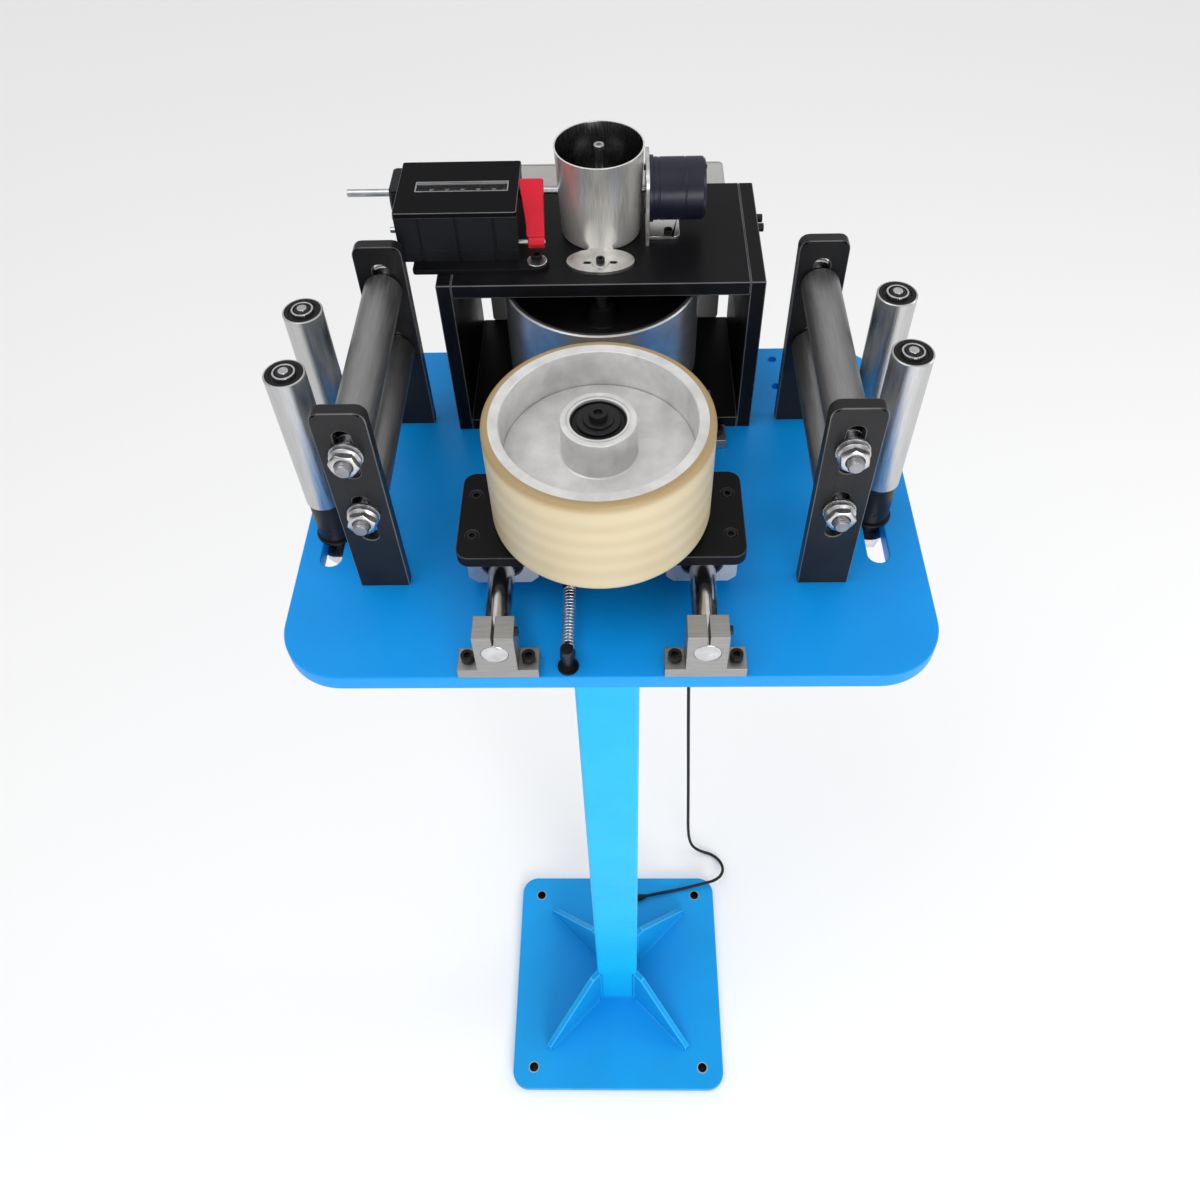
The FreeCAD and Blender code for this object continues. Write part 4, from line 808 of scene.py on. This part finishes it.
def make_uprights():
    """The four slotted uprights, round at the top."""
    thickness = 10
    round_top = 8
    slot_half = 6.3
    for name in ("left_uprights", "right_uprights"):
        low, high = extent(name)
        x = -(low.x + high.x) / 2
        half = (high.x - low.x) / 2
        bend = []
        for k in range(7):
            angle = math.radians(15 * k)
            across = half - round_top + round_top * math.cos(angle)
            bend.append((across, high.z - round_top + round_top * math.sin(angle)))
        shape = [(x - half, low.z), (x + half, low.z)]
        shape += [(x + across, level) for across, level in bend]
        shape += [(x - across, level) for across, level in reversed(bend)]
        lines = [(shape, 0)]
        for bottom, top in ((57, 106), (125, 171)):
            slot = oblong(x - slot_half, x + slot_half, low.z + bottom, low.z + top)
            lines.append((slot, slot_half - 0.05))
        parts = []
        for front in (low.y, high.y - thickness):
            parts.append((placed(cut_plate(lines, 0, thickness), (0, front, 0), BACK), 0))
        # The uprights' broken edges are lighter: partly rubbed wear, partly a painted highlight.
        bevel_with(build(name + "_plates", parts, ["upright_black"], name, width=0.7), "edge_grey")


def roller_parts(foot, along, length):
    """A tube with its two ball bearings: black outer ring and seal, and inner ring."""
    parts = [(turned([
        (13.6, 0.6), (13.8, 0), (14.5, 0), (15, 0.5), (15, length - 0.5),
        (14.5, length), (13.8, length), (13.6, length - 0.6),
    ], foot, along, 80), 0)]
    for start, heading in ((foot, along), (foot + along * length, -along)):
        parts.append((sleeve(10.8, 13.6, 0.5, 5.8, start, heading), 2))
        parts.append((turned([
            (7.9, 1.3), (8.3, 1), (10.4, 1), (10.8, 1.3), (10.8, 2), (7.9, 2),
        ], start, heading), 2))
        parts.append((sleeve(6.05, 7.9, 0.3, 5.8, start, heading), 1))
    return parts


def clamp_parts(seat, heading, turn):
    """What clamps an axle on an upright: two washers, a collared nut and the thread's end."""
    collar = [(6.2, 0), (11.4, 0), (11.4, 1.2), (9.2, 3), (6.2, 3)]
    return [
        (ring(12, 6.4, 2.3, seat + heading * 0.1, heading), 0),
        (ring(10.8, 6.4, 2, seat + heading * 2.5, heading, edge=0.2), 0),
        (turned(collar, seat + heading * 4.6, heading), 0),
        (hex_nut(19, 5.4, 6.1, seat + heading * 7.1, heading, turn), 0),
        (rod_end(6, 7, seat + heading * 10.5, heading), 1),
    ]


def make_lying_rollers():
    for k, place in enumerate(("upper_left", "lower_left", "upper_right", "lower_right")):
        low, high = extent(place + "_roller")
        foot = Vector(((low.x + high.x) / 2, low.y, (low.z + high.z) / 2))
        length = high.y - low.y
        build(
            place + "_roller_tube", roller_parts(foot, BACK, length),
            ["roller_steel_y", "bearing_steel", "bearing_shield"], place + "_roller", width=0,
        )
        past = 12
        front = foot - BACK * past
        back = foot + BACK * (length + past)
        parts = [
            (bar(6, length + 2 * past, front, BACK), 0),
            (ring(8.5, 6, 1.5, foot - BACK * 1.9, BACK), 0),
            (ring(8.5, 6, 1.5, foot + BACK * (length + 0.4), BACK), 0),
        ]
        parts += clamp_parts(front, -BACK, 0.35 + 0.4 * k)
        parts += clamp_parts(back, BACK, 0.9 + 0.3 * k)
        build(place + "_axle_set", parts, ["axle_zinc", "thread_zinc"], place + "_axle")


def make_standing_rollers():
    for k, place in enumerate(("front_left", "rear_left", "front_right", "rear_right")):
        low, high = extent(place + "_roller")
        foot = Vector(((low.x + high.x) / 2, (low.y + high.y) / 2, low.z))
        length = high.z - low.z
        build(
            place + "_roller_tube", roller_parts(foot, UP, length),
            ["roller_steel_z", "bearing_steel", "bearing_shield"], place + "_roller", width=0,
        )
        x, y = foot.xy
        under, deck = (corner.z for corner in extent("top_plate"))
        cap = foot.z + length
        collar = [(6, 0), (13, 0), (14, 1), (14, 38.6), (12.6, 40), (6, 40)]
        parts = [
            (bar(8, deck - under + 21, (x, y, under - 15)), 0),
            (turned(collar, (x, y, deck + 2)), 0),
            (ring(16, 8, 1.9, (x, y, deck + 0.1), UP), 0),
            (socket_head(4, 0.8, (x, y - 13.8, deck + 12), -BACK, 0.4), 0),
            (turned([
                (0, 0), (6, 0), (6, length + 3.4), (5.4, length + 4), (0, length + 4),
            ], (x, y, foot.z - 2)), 0),
            (turned([(0, 0), (3.4, 0), (3.8, 0.3), (3.6, 0.9), (0, 0.9)], (x, y, cap + 1.7)), 1),
            (ring(8.4, 6.8, 1.4, (x, y, cap + 0.3), UP), 1),
            (ring(6.8, 6, 1.1, (x, y, cap + 0.3), UP), 0),
            (ring(16, 8, 1.9, (x, y, under - 0.1), -UP), 2),
            (hex_nut(24, 13, 8, (x, y, under - 2), -UP, 0.3 * k), 2),
            (rod_end(8, 6, (x, y, under - 14), -UP, 2), 2),
        ]
        looks = ["post_black", "bearing_steel", "axle_zinc"]
        build(place + "_post_set", parts, looks, place + "_post")


# Press wheel

def make_press_wheel():
    """Hub, tyre and bearings, turned round the wheel's own axis."""
    x, y = middle_of("press_wheel_tyre").xy
    z = extent("press_wheel_tyre")[0].z
    foot = (x, y, z)
    hub = turned([
        (20, 6), (27, 6), (27, 32), (69.2, 32), (69.2, 0), (76.7, 0), (76.7, 89), (69.8, 89),
        (69.2, 88.4), (69.2, 56.2), (68.7, 56.2), (68.5, 57),
        (27, 57), (27, 88), (23, 88), (22.7, 87.2), (21.9, 87.2), (21.6, 88), (20, 88),
        (20, 74), (17.5, 74), (17.5, 18), (20, 18),
    ], foot, UP, 144, (
        (1, 1), (2, 6), (3, 4), (4, 1), (12, 1.8), (13, 0.8), (18, 0.4), (0, 0.6),
    ))
    build("press_wheel_hub_turned", [(hub, 0)], ["hub_aluminium"], "press_wheel_hub", width=0)
    tyre = turned([
        (76.7, 0), (82, 0), (82, 89), (76.7, 89),
    ], foot, UP, 160, ((1, 3.2), (2, 3.2)))
    build("press_wheel_tyre_moulded", [(tyre, 0)], ["tyre_cream"], "press_wheel_tyre", width=0)
    rings = []
    for height in (6, 74):
        rings.append((sleeve(18.9, 20, height, height + 12, foot), 1))
        rings.append((sleeve(8.6, 11.4, height, height + 12, foot), 0))
        rings.append((turned([
            (11.4, height + 1), (12.4, height + 0.5), (17.9, height + 0.5), (18.9, height + 1),
            (18.9, height + 11), (17.9, height + 11.5), (12.4, height + 11.5), (11.4, height + 11),
        ], foot), 1))
    build(
        "press_wheel_bearing_rings", rings, ["bearing_steel", "bearing_shield"],
        "press_wheel_bearings", width=0.2,
    )
    washer = [(4, 0), (15, 0), (15.6, 0.5), (15.6, 1.2), (15, 1.8), (4, 1.8)]
    axle = [
        (bar(8.5, 108, (x, y, z - 22)), 0),
        (ring(13, 8.5, 9.7, (x, y, z - 4), UP, edge=0.6), 0),
        (hex_nut(24, 8, 8.5, (x, y, z - 14), -UP, 0.2), 0),
        (turned(washer, (x, y, z + 86.3)), 1),
        (turned([(4, 0), (11, 0), (11, 1.4), (10.2, 2.2), (4, 2.2)], (x, y, z + 88)), 1),
        (socket_head(13, 4.2, (x, y, z + 90.2), UP, 0.3), 1),
    ]
    build("press_axle_set", axle, ["axle_zinc", "oxide_black"], "press_axle", width=0.3)


def make_bearing_seals():
    """Black seal rings round the guide shafts at both ends of the linear bearings."""
    parts = []
    low, high = extent("linear_bearings")
    radius = 16
    z = (low.z + high.z) / 2
    for x in (low.x + radius, high.x - radius):
        for y, heading in ((low.y, -BACK), (high.y, BACK)):
            parts.append((turned([
                (10.3, 0), (15.9, 0), (15.9, 1.4), (15.2, 2), (12, 2), (10.9, 1.2), (10.3, 1.2),
            ], (x, y, z), heading), 0))
    build("guide_seals", parts, ["bearing_shield"], body="carriage", width=0.15)


def make_clamp_screws():
    """The screw that closes each shaft support on its shaft."""
    parts = []
    low, high = extent("shaft_supports")
    shaft_x = 76
    half_wide = 15
    half_deep = 10
    for side in (-1, 1):
        for y in (low.y + half_deep, high.y - half_deep):
            place = (side * shaft_x + half_wide, y, high.z - 5.2)
            parts.append((socket_head(7, 2.6, place, RIGHT, 0.2), 0))
    build("support_clamp_screws", parts, ["oxide_black"], body="stand", width=0.15)


def make_spring():
    """The spring: a wound wire between its two seats."""
    low, high = extent("press_spring")
    middle = (low + high) / 2
    wire = 0.6
    reach = (high.x - low.x) / 2 - wire
    length = high.y - low.y - 2 * wire
    steps = 28
    closed = 2
    open_turns = 18
    closed_pitch = 2 * wire
    open_pitch = (length - 2 * closed * closed_pitch) / open_turns
    part = bmesh.new()
    upright = Matrix.Translation((reach, 0, 0)) @ Matrix.Rotation(math.pi / 2, 4, "X")
    bmesh.ops.create_circle(part, cap_ends=True, segments=8, radius=wire, matrix=upright)
    last = part.verts[:] + part.edges[:]
    for turns, pitch in (
        (closed, closed_pitch), (open_turns, open_pitch), (closed, closed_pitch),
    ):
        spun = bmesh.ops.spin(
            part, geom=last, cent=(0, 0, 0), axis=(0, 0, 1), dvec=(0, 0, pitch / steps),
            angle=2 * math.pi * turns, steps=turns * steps, use_merge=False, use_duplicate=False,
        )
        last = only(spun["geom_last"], (bmesh.types.BMVert, bmesh.types.BMEdge))
    bmesh.ops.holes_fill(part, edges=only(last, bmesh.types.BMEdge))
    bmesh.ops.recalc_face_normals(part, faces=part.faces)
    placed(part, (middle.x, low.y + wire, middle.z), BACK)
    mesh = assembled("press_spring_wire", [(part, 0)])
    spring = add_piece("press_spring_wire", mesh, ["spring_wire"], "press_spring", rides=False)
    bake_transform(spring)


# Measuring head

def make_measuring_wheel():
    """A bright turned wheel, dark inside, on its hub."""
    low, high = extent("measuring_wheel")
    middle = middle_of("measuring_wheel")
    radius = high.x - middle.x
    foot = (middle.x, middle.y, low.z)
    shell = turned([
        (radius - 1.6, 0.2), (radius - 0.8, 0), (radius, 0.8), (radius, 85.2), (radius - 0.8, 86),
        (radius - 1.6, 86),
    ], foot, UP, 160)
    inside = turned([
        (6.05, 28), (radius - 4, 28), (radius - 4, 0.6), (radius - 1.6, 0.6), (radius - 1.6, 85.8),
        (radius - 4, 85.8), (radius - 4, 40), (14, 40), (9.5, 56), (6.05, 56),
    ], foot, UP, 160, ((6, 3), (7, 2), (8, 1)))
    build(
        "measuring_wheel_turned", [(shell, 0), (inside, 1)], ["wheel_steel", "wheel_dark"],
        "measuring_wheel", width=0,
    )


def pierced_cup(foot, height, radius):
    """The cup's turned wall with a round hole on each side for the two shafts."""
    thickness = 1.2
    levels = [height + step * 1.5 for step in range(-5, 6)]

    def outer(level):
        return 32 + 3 * level / 75

    wall = [(outer(level), level) for level in levels]
    lining = [(outer(level) - thickness, level) for level in reversed(levels)]
    profile = [(5, 0), (30.8, 0), (outer(1.2), 1.2)] + wall
    profile += [(outer(73.8), 73.8), (35.2, 74.3), (35.2, 74.8), (34.8, 74.9), (34, 74.9)]
    profile += [(outer(74) - thickness, 74.2)] + lining + [(outer(2) - thickness, 2), (5, 2)]
    part = turned(profile, steps=144)
    for side in (-1, 1):
        near = []
        for face in part.faces:
            middle = face.calc_center_median()
            if middle.x * side > 20 and math.hypot(middle.y, middle.z - height) < radius:
                near.append(face)
        bmesh.ops.delete(part, geom=near, context="FACES")
        rims = [edge for edge in part.edges if edge.is_boundary and edge.verts[0].co.x * side > 20]
        for vert in {vert for edge in rims for vert in edge.verts}:
            away = Vector((0, vert.co.y, vert.co.z - height)).normalized() * radius
            vert.co.y = away.y
            vert.co.z = away.z + height
        bmesh.ops.bridge_loops(part, edges=rims)
    bmesh.ops.recalc_face_normals(part, faces=part.faces)
    return placed(part, foot)


def make_cup():
    """The steel cup with its rolled rim, its oval ear and the ear's slots."""
    top = extent("frame_top")[1].z
    x, y = middle_of("layshaft").xy
    shaft_top = extent("layshaft")[1].z
    screw_y = y - 50.1
    oval = bmesh.new()
    bmesh.ops.create_circle(
        oval, cap_ends=False, segments=64, radius=1,
        matrix=Matrix.Translation((x, screw_y + 3, 0)) @ Matrix.Diagonal((27, 15.6, 1, 1)),
    )
    ear_top = top + 2.9
    for slot_x in (x - 10.4, x + 10.4):
        outline(oval, oblong(slot_x - 3, slot_x + 3, screw_y - 1.8, screw_y + 1.8), 1.7)
    raised(oval, top, ear_top)
    neck = cut_plate([(oblong(x - 10, x + 10, screw_y + 12, y - 29), 0)], top, ear_top - 0.1)
    washer = ring(7, 3.2, 0.8, (x, screw_y, ear_top), UP, edge=0.2)
    wall = pierced_cup((x, y, top), 36, 4.5)
    # Faces that look into the cup take a darker copy of the steel, as painted shade.
    for face in wall.faces:
        middle = face.calc_center_median() - Vector((x, y, 0))
        if middle.x * face.normal.x + middle.y * face.normal.y < -1:
            face.material_index = 2
    parts = [(wall, None), (oval, 1), (neck, 1), (washer, 1)]
    build("gear_cup_turned", parts, ["cup_steel", "ear_zinc", "cup_inside"], "gear_cup", width=0.12)
    screw = socket_head(8.4, 4, (x, y, shaft_top), UP)
    build("layshaft_screw", [(screw, 0)], ["gear_steel"], body=body_of("layshaft"), width=0.2)


# Counter

def make_counter_case():
    """The case with its grooved front, its lid and window, its end boss and the strip below."""
    strip_low, low, high = 1286, 1290, 1335
    left, right, front = -158, -63.6, 163.2
    lid_low = high - 5
    shaft_y, shaft_z = 211.1, 1322
    pin_place = (left, 185, 1305)
    notch_places = [-110.5 + step * 29 for step in (-1, 0, 1)]

    def section(outer_notch):
        points = [(left, front)]
        for k, x in enumerate(notch_places):
            half = 0.8 if k == 1 else outer_notch
            deep = front + 1.2
            points += [(x - half, front), (x - half, deep), (x + half, deep), (x + half, front)]
        return points + [(right, front), (right, 233.4), (left, 233.4)]

    room = oblong(-141, -70, 185, 223)
    window = oblong(-143, -72, 192, 204)
    foot = cut_plate([(section(1.7), 0)], low, low + 11)
    shell = cut_plate([(section(0.8), 0), (room, 0)], low + 11, lid_low)
    lid = cut_plate([(oblong(left, -63, 162, 234), 2.2), (window, 0)], lid_low, high - 0.3)
    # The window's raised border and a strip inside the window's far edge are pale: a painted
    # highlight.
    border = oblong(-144, -71, 191, 205)
    frame_rim = cut_plate([(border, 0.8), (window, 0)], high - 0.8, high - 0.1)
    highlight_strip = cut_plate([(oblong(-143, -72, 202.8, 204), 0)], high - 2, high - 0.9)
    boss = turned([
        (3.05, 0), (20, 0), (20, 5), (18, 7), (9, 7), (8.6, 6.4), (3.05, 6.4),
    ], (left, shaft_y, shaft_z), -RIGHT, 72)
    cut = bmesh.ops.bisect_plane(
        boss, geom=everything(boss), plane_co=(0, 0, high - 1.4), plane_no=UP, clear_outer=True,
    )["geom_cut"]
    bmesh.ops.holes_fill(boss, edges=only(cut, bmesh.types.BMEdge))
    bush_profile = [(3.05, 0), (7, 0), (7, 1.2), (5.8, 2), (3.05, 2)]
    bush = turned(bush_profile, (right, shaft_y, shaft_z), RIGHT)
    strip = cut_plate(
        [([(-148, 152), (-50, 152), (-42.8, 154.6), (-40.2, 162), (-42.8, 169.4), (-50, 172),
           (-63, 172), (-63, 230), (-148, 230)], 2.5)],
        strip_low, low, [(-50, 162, 3)],
    )
    pin = turned([(0, 0), (2.4, 0), (2.4, 8.6), (2, 9), (0, 9)], pin_place, -RIGHT)
    pin_boss = turned([(2.4, 0), (4.6, 0), (4.2, 1.2), (2.4, 1.2)], pin_place, -RIGHT)
    washer = ring(8, 3.2, 1.4, (-50, 162, low), UP, edge=0.2)
    parts = [(part, 0) for part in (foot, shell, boss, bush, pin_boss)]
    parts += [(strip, 1), (pin, 2), (washer, 2)]
    for y in (170, 226):
        parts.append((socket_head(5, 1.6, (left, y, 1327), -RIGHT, 0.5), 2))
    build(
        "counter_case_moulded", parts, ["case_black", "frame_black", "axle_zinc"],
        "counter_case", width=0.35, segments=3,
    )
    body = body_of("counter_case")
    # The lid's broken edges are lighter: partly rubbed wear, partly a painted highlight along the
    # front edge.
    bevel_with(build("counter_lid", [(lid, 0)], ["lid_black"], body=body, width=0.5), "edge_grey")
    # Painted highlight: the pale window border and the pale strip inside the window.
    rim = [(frame_rim, 0), (highlight_strip, 0)]
    build("counter_window_highlight", rim, ["rim_pale"], body=body, width=0.1)


def numeral(glyph, height):
    """A numeral's flat shape from the built-in face, centred and cut into narrow strips."""
    text = bpy.data.curves.new("numeral", "FONT")
    text.body = glyph
    text.size = 1
    text.resolution_u = 3
    holder = bpy.data.objects.new("numeral", text)
    mesh = bpy.data.meshes.new_from_object(holder)
    part = bmesh.new()
    part.from_mesh(mesh)
    bpy.data.objects.remove(holder)
    bpy.data.meshes.remove(mesh)
    bpy.data.curves.remove(text)
    bmesh.ops.remove_doubles(part, verts=part.verts, dist=0.0005)
    lows = [min(vert.co[k] for vert in part.verts) for k in (0, 1)]
    highs = [max(vert.co[k] for vert in part.verts) for k in (0, 1)]
    middle = Vector(((lows[0] + highs[0]) / 2, (lows[1] + highs[1]) / 2, 0))
    bmesh.ops.translate(part, verts=part.verts, vec=-middle)
    share = height / (highs[1] - lows[1])
    widened = share * 1.05
    bmesh.ops.scale(part, vec=(widened, share, 1), verts=part.verts)
    strips = 8
    for step in range(1, strips):
        level = height * (step / strips - 0.5)
        bmesh.ops.bisect_plane(part, geom=everything(part), plane_co=(0, level, 0), plane_no=BACK)
    return part


def make_numerals():
    """Ten raised numerals round each of the five wheels."""
    wheel_radius = 9
    surface = wheel_radius + 0.01
    first_x, pitch = -82.9, -12.3
    tenth, first_turn = 36, 20
    shapes = []
    for glyph in "0123456789":
        part = numeral(glyph, 4.8)
        mesh = bpy.data.meshes.new("numeral")
        part.to_mesh(mesh)
        part.free()
        shapes.append(mesh)
    for number in range(1, 6):
        axis = middle_of(f"number_wheel_{number}")
        axis.x = first_x + pitch * (number - 1)
        parts = []
        for k, mesh in enumerate(shapes):
            part = bmesh.new()
            part.from_mesh(mesh)
            for vert in part.verts:
                angle = vert.co.y / wheel_radius
                vert.co.y = surface * math.sin(angle)
                vert.co.z = surface * math.cos(angle)
            bmesh.ops.solidify(part, geom=part.faces[:], thickness=-0.16)
            bmesh.ops.recalc_face_normals(part, faces=part.faces)
            turn = Matrix.Rotation(-math.radians(tenth * k + first_turn), 4, "X")
            bmesh.ops.transform(part, matrix=Matrix.Translation(axis) @ turn, verts=part.verts)
            parts.append((part, 0))
        body = f"number_wheel_{number}"
        build(f"numerals_{number}", parts, ["numeral_white"], body=body, width=0)
    for mesh in shapes:
        bpy.data.meshes.remove(mesh)


# Encoder and junction box

def make_encoder():
    """The encoder's plain dark body with its stepped front, its grooves and its end cap."""
    low, high = extent("encoder_body")
    foot = (low.x, (low.y + high.y) / 2, (low.z + high.z) / 2)
    body = turned([
        (3.05, 0), (25.5, 0), (25.5, 3), (24, 3.4), (24, 6.6), (23.6, 7), (23.6, 7.8), (24, 8.2),
        (24, 27.6), (23.7, 28), (23.7, 28.5), (24, 28.9), (24, 41.8), (22, 44), (15, 44),
        (14.6, 43.5), (0, 43.5), (0, 24), (3.05, 24),
    ], foot, RIGHT, 96)
    parts = [(body, 0)]
    screw_circle = 18.5
    for k in range(3):
        angle = math.radians(90 + 120 * k)
        y = foot[1] + screw_circle * math.cos(angle)
        z = foot[2] + screw_circle * math.sin(angle)
        parts.append((socket_head(4.6, 1.4, (low.x - 3, y, z), -RIGHT, 0.4 * k), 1))
        parts.append((socket_head(3.6, 1, (high.x, y, z), RIGHT, 0.3 * k), 1))
    looks = ["encoder_black", "oxide_black"]
    build("encoder_body_turned", parts, looks, "encoder_body", width=0.2)


def make_junction_box():
    """The cast box behind the frame: tub, dark seal, lid and the lid's four screws."""
    low, high = extent("junction_box")
    deep = high.y - low.y
    outer = oblong(low.x, high.x, low.z, high.z)
    inset = oblong(low.x + 0.6, high.x - 0.6, low.z + 0.6, high.z - 0.6)
    recess = oblong(low.x + 22, high.x - 22, low.z + 16, high.z - 16)
    parts = []
    seal, lid, border, face = deep - 3.4, deep - 2.6, deep - 1.4, deep - 0.8
    for shape, start, end, finish in (
        ([(outer, 5)], 0, seal, 0),
        ([(inset, 5)], seal, lid, 1),
        ([(outer, 5)], lid, border, 0),
        ([(outer, 5), (recess, 5)], border, face, 0),
    ):
        parts.append((placed(cut_plate(shape, start, end), (0, low.y, 0), BACK), finish))
    inwards = 9
    for x in (low.x + inwards, high.x - inwards):
        for z in (low.z + inwards, high.z - inwards):
            parts.append((turned([
                (0, 0.4), (1.2, 0.4), (1.6, 0.7), (3.2, 0.7), (3.8, 0.3), (3.8, 0), (0, 0),
            ], (x, high.y - 0.8, z), BACK, 32), 2))
    looks = ["box_grey", "bearing_shield", "axle_zinc"]
    build("junction_box_cast", parts, looks, "junction_box")


def make_gland():
    """The gland: flange nut, ribbed dome and ringed boot."""
    x, y = middle_of("cable_gland").xy
    under = extent("junction_box")[0].z
    dome = turned([(4, 0), (7.5, 0), (7.5, 9), (6, 12), (4, 12)], steps=48)
    fluted(dome, 7.4, 7.5, 3, 0.94)
    boot_profile = [(2.6, 0), (5.5, 0)]
    for k in range(7):
        start = 1.5 + 3 * k
        shrink = start / 12
        boot_profile += [
            (5.5 - shrink, start), (4.8 - shrink, start + 0.5),
            (4.8 - shrink, start + 1.3), (5.4 - shrink, start + 1.8),
        ]
    boot_profile += [(3.6, 23), (3.2, 24), (2.6, 24)]
    parts = [
        (turned([(3, 0), (7.5, 0), (7.5, 2.5), (3, 2.5)], (x, y, under)), 0),
        (hex_nut(19, 7, 4, (x, y, under), -UP, 0.25), 0),
        (placed(dome, (x, y, under - 7), -UP), 0),
        (turned(boot_profile, (x, y, under - 19), -UP, 40), 0),
    ]
    build("cable_gland_ribbed", parts, ["cable_black"], "cable_gland", width=0.15)


def make_plug():
    """The inline connector: boot, body, knurled collar and four pins."""
    end = Vector(cable_route[-1])
    heading = (end - Vector(cable_route[-2])).normalized()
    boot_profile = [(0, 0), (3.4, 0)]
    for k in range(3):
        start = 1 + 2.6 * k
        swell = start / 5
        boot_profile += [
            (3.6 + swell, start), (3.1 + swell, start + 0.5), (3.2 + swell, start + 1.2),
        ]
    boot_profile += [(5.4, 8.4), (5.4, 9), (0, 9)]
    collar = turned([
        (4.4, 0), (6, 0), (6.4, 0.6), (6.4, 8.6), (5.9, 9.2), (5.6, 9.2), (5.6, 3), (4.4, 3),
    ], steps=60)
    fluted(collar, 6.3, 6, 2, 0.955)
    parts = [
        (turned(boot_profile, end, heading, 40), 0),
        (turned([
            (0, 0), (5.2, 0), (5.5, 0.4), (5.5, 10), (5.2, 10.3), (5.2, 11), (5.5, 11.3),
            (5.5, 24), (0, 24),
        ], end + heading * 9, heading, 48), 0),
        (placed(collar, end + heading * 33, heading), 1),
        (bar(4.6, 4, end + heading * 33, heading), 0),
    ]
    side = heading.cross(UP)
    pin = [(0, 0), (0.5, 0), (0.5, 4), (0.3, 4.4), (0, 4.4)]
    pin_circle = 2.2
    for k in range(4):
        angle = math.radians(45 + 90 * k)
        off = side * pin_circle * math.cos(angle) + UP * pin_circle * math.sin(angle)
        parts.append((turned(pin, end + heading * 37 + off, heading, 12), 1))
    looks = ["cable_black", "axle_zinc"]
    return build("output_plug_moulded", parts, looks, "output_plug", width=0.12)


# Pieces that keep their CAD shape: finish, bevel in millimetres, finish of the bevel

plain_finishes = {
    "base_plate": ("base_blue", 1.0, None),
    "column": ("column_blue", 1.0, None),
    # The gussets' broken edges take a lighter blue: a painted highlight.
    "base_gussets": ("base_blue", 1.0, "edge_blue"),
    "head_flange": ("column_blue", 0.8, None),
    "top_plate": ("table_blue", 1.2, None),
    # The frame's broken edges are lighter: partly rubbed wear, partly a painted highlight.
    "frame_top": ("frame_black", 0.8, "edge_grey"),
    "frame_sides": ("frame_black", 0.8, "edge_grey"),
    "frame_bottom": ("frame_black", 0.8, "edge_grey"),
    "shaft_supports": ("support_aluminium", 0.5, None),
    "guide_shafts": ("shaft_chrome", 0.8, None),
    "spindle_bearings": ("bearing_steel", 0.3, None),
    "encoder_bracket": ("ear_zinc", 0.5, None),
    "counter_window": ("window_clear", 0.15, None),
    "counter_works": ("gear_steel", 0.2, None),
    "cap_screws": ("oxide_black", 0.3, None),
    # The carriage plate's broken edges are lighter: partly rubbed wear, partly a painted highlight.
    "carriage_plate": ("carriage_black", 0.7, "edge_dim"),
    "bearing_blocks": ("block_aluminium", 0.7, None),
    "linear_bearings": ("bearing_steel", 0.4, None),
    "carriage_screws": ("oxide_black", 0.3, None),
    "measuring_spindle": ("gear_steel", 0.2, None),
    "layshaft": ("gear_steel", 0.2, None),
    "counter_shaft": ("gear_steel", 0.2, None),
    "encoder_shaft": ("gear_steel", 0.2, None),
    "reset_lever": ("lever_red", 0.9, None),
}


def dress_plain_nodes():
    for node, (finish, width, edge_finish) in plain_finishes.items():
        piece = dress(node, finish, width * mm)
        if edge_finish:
            bevel_with(piece, edge_finish)
    for number in range(1, 6):
        dress(f"number_wheel_{number}", "number_black", 0.3 * mm)


add_camera()
add_studio()
mix_finishes()
make_cable()
dress_plain_nodes()
make_weld_beads()
make_hole_shade_and_highlight()
make_uprights()
make_lying_rollers()
make_standing_rollers()
make_press_wheel()
make_bearing_seals()
make_clamp_screws()
make_spring()
make_measuring_wheel()
make_cup()
make_counter_case()
make_numerals()
make_encoder()
make_junction_box()
make_gland()
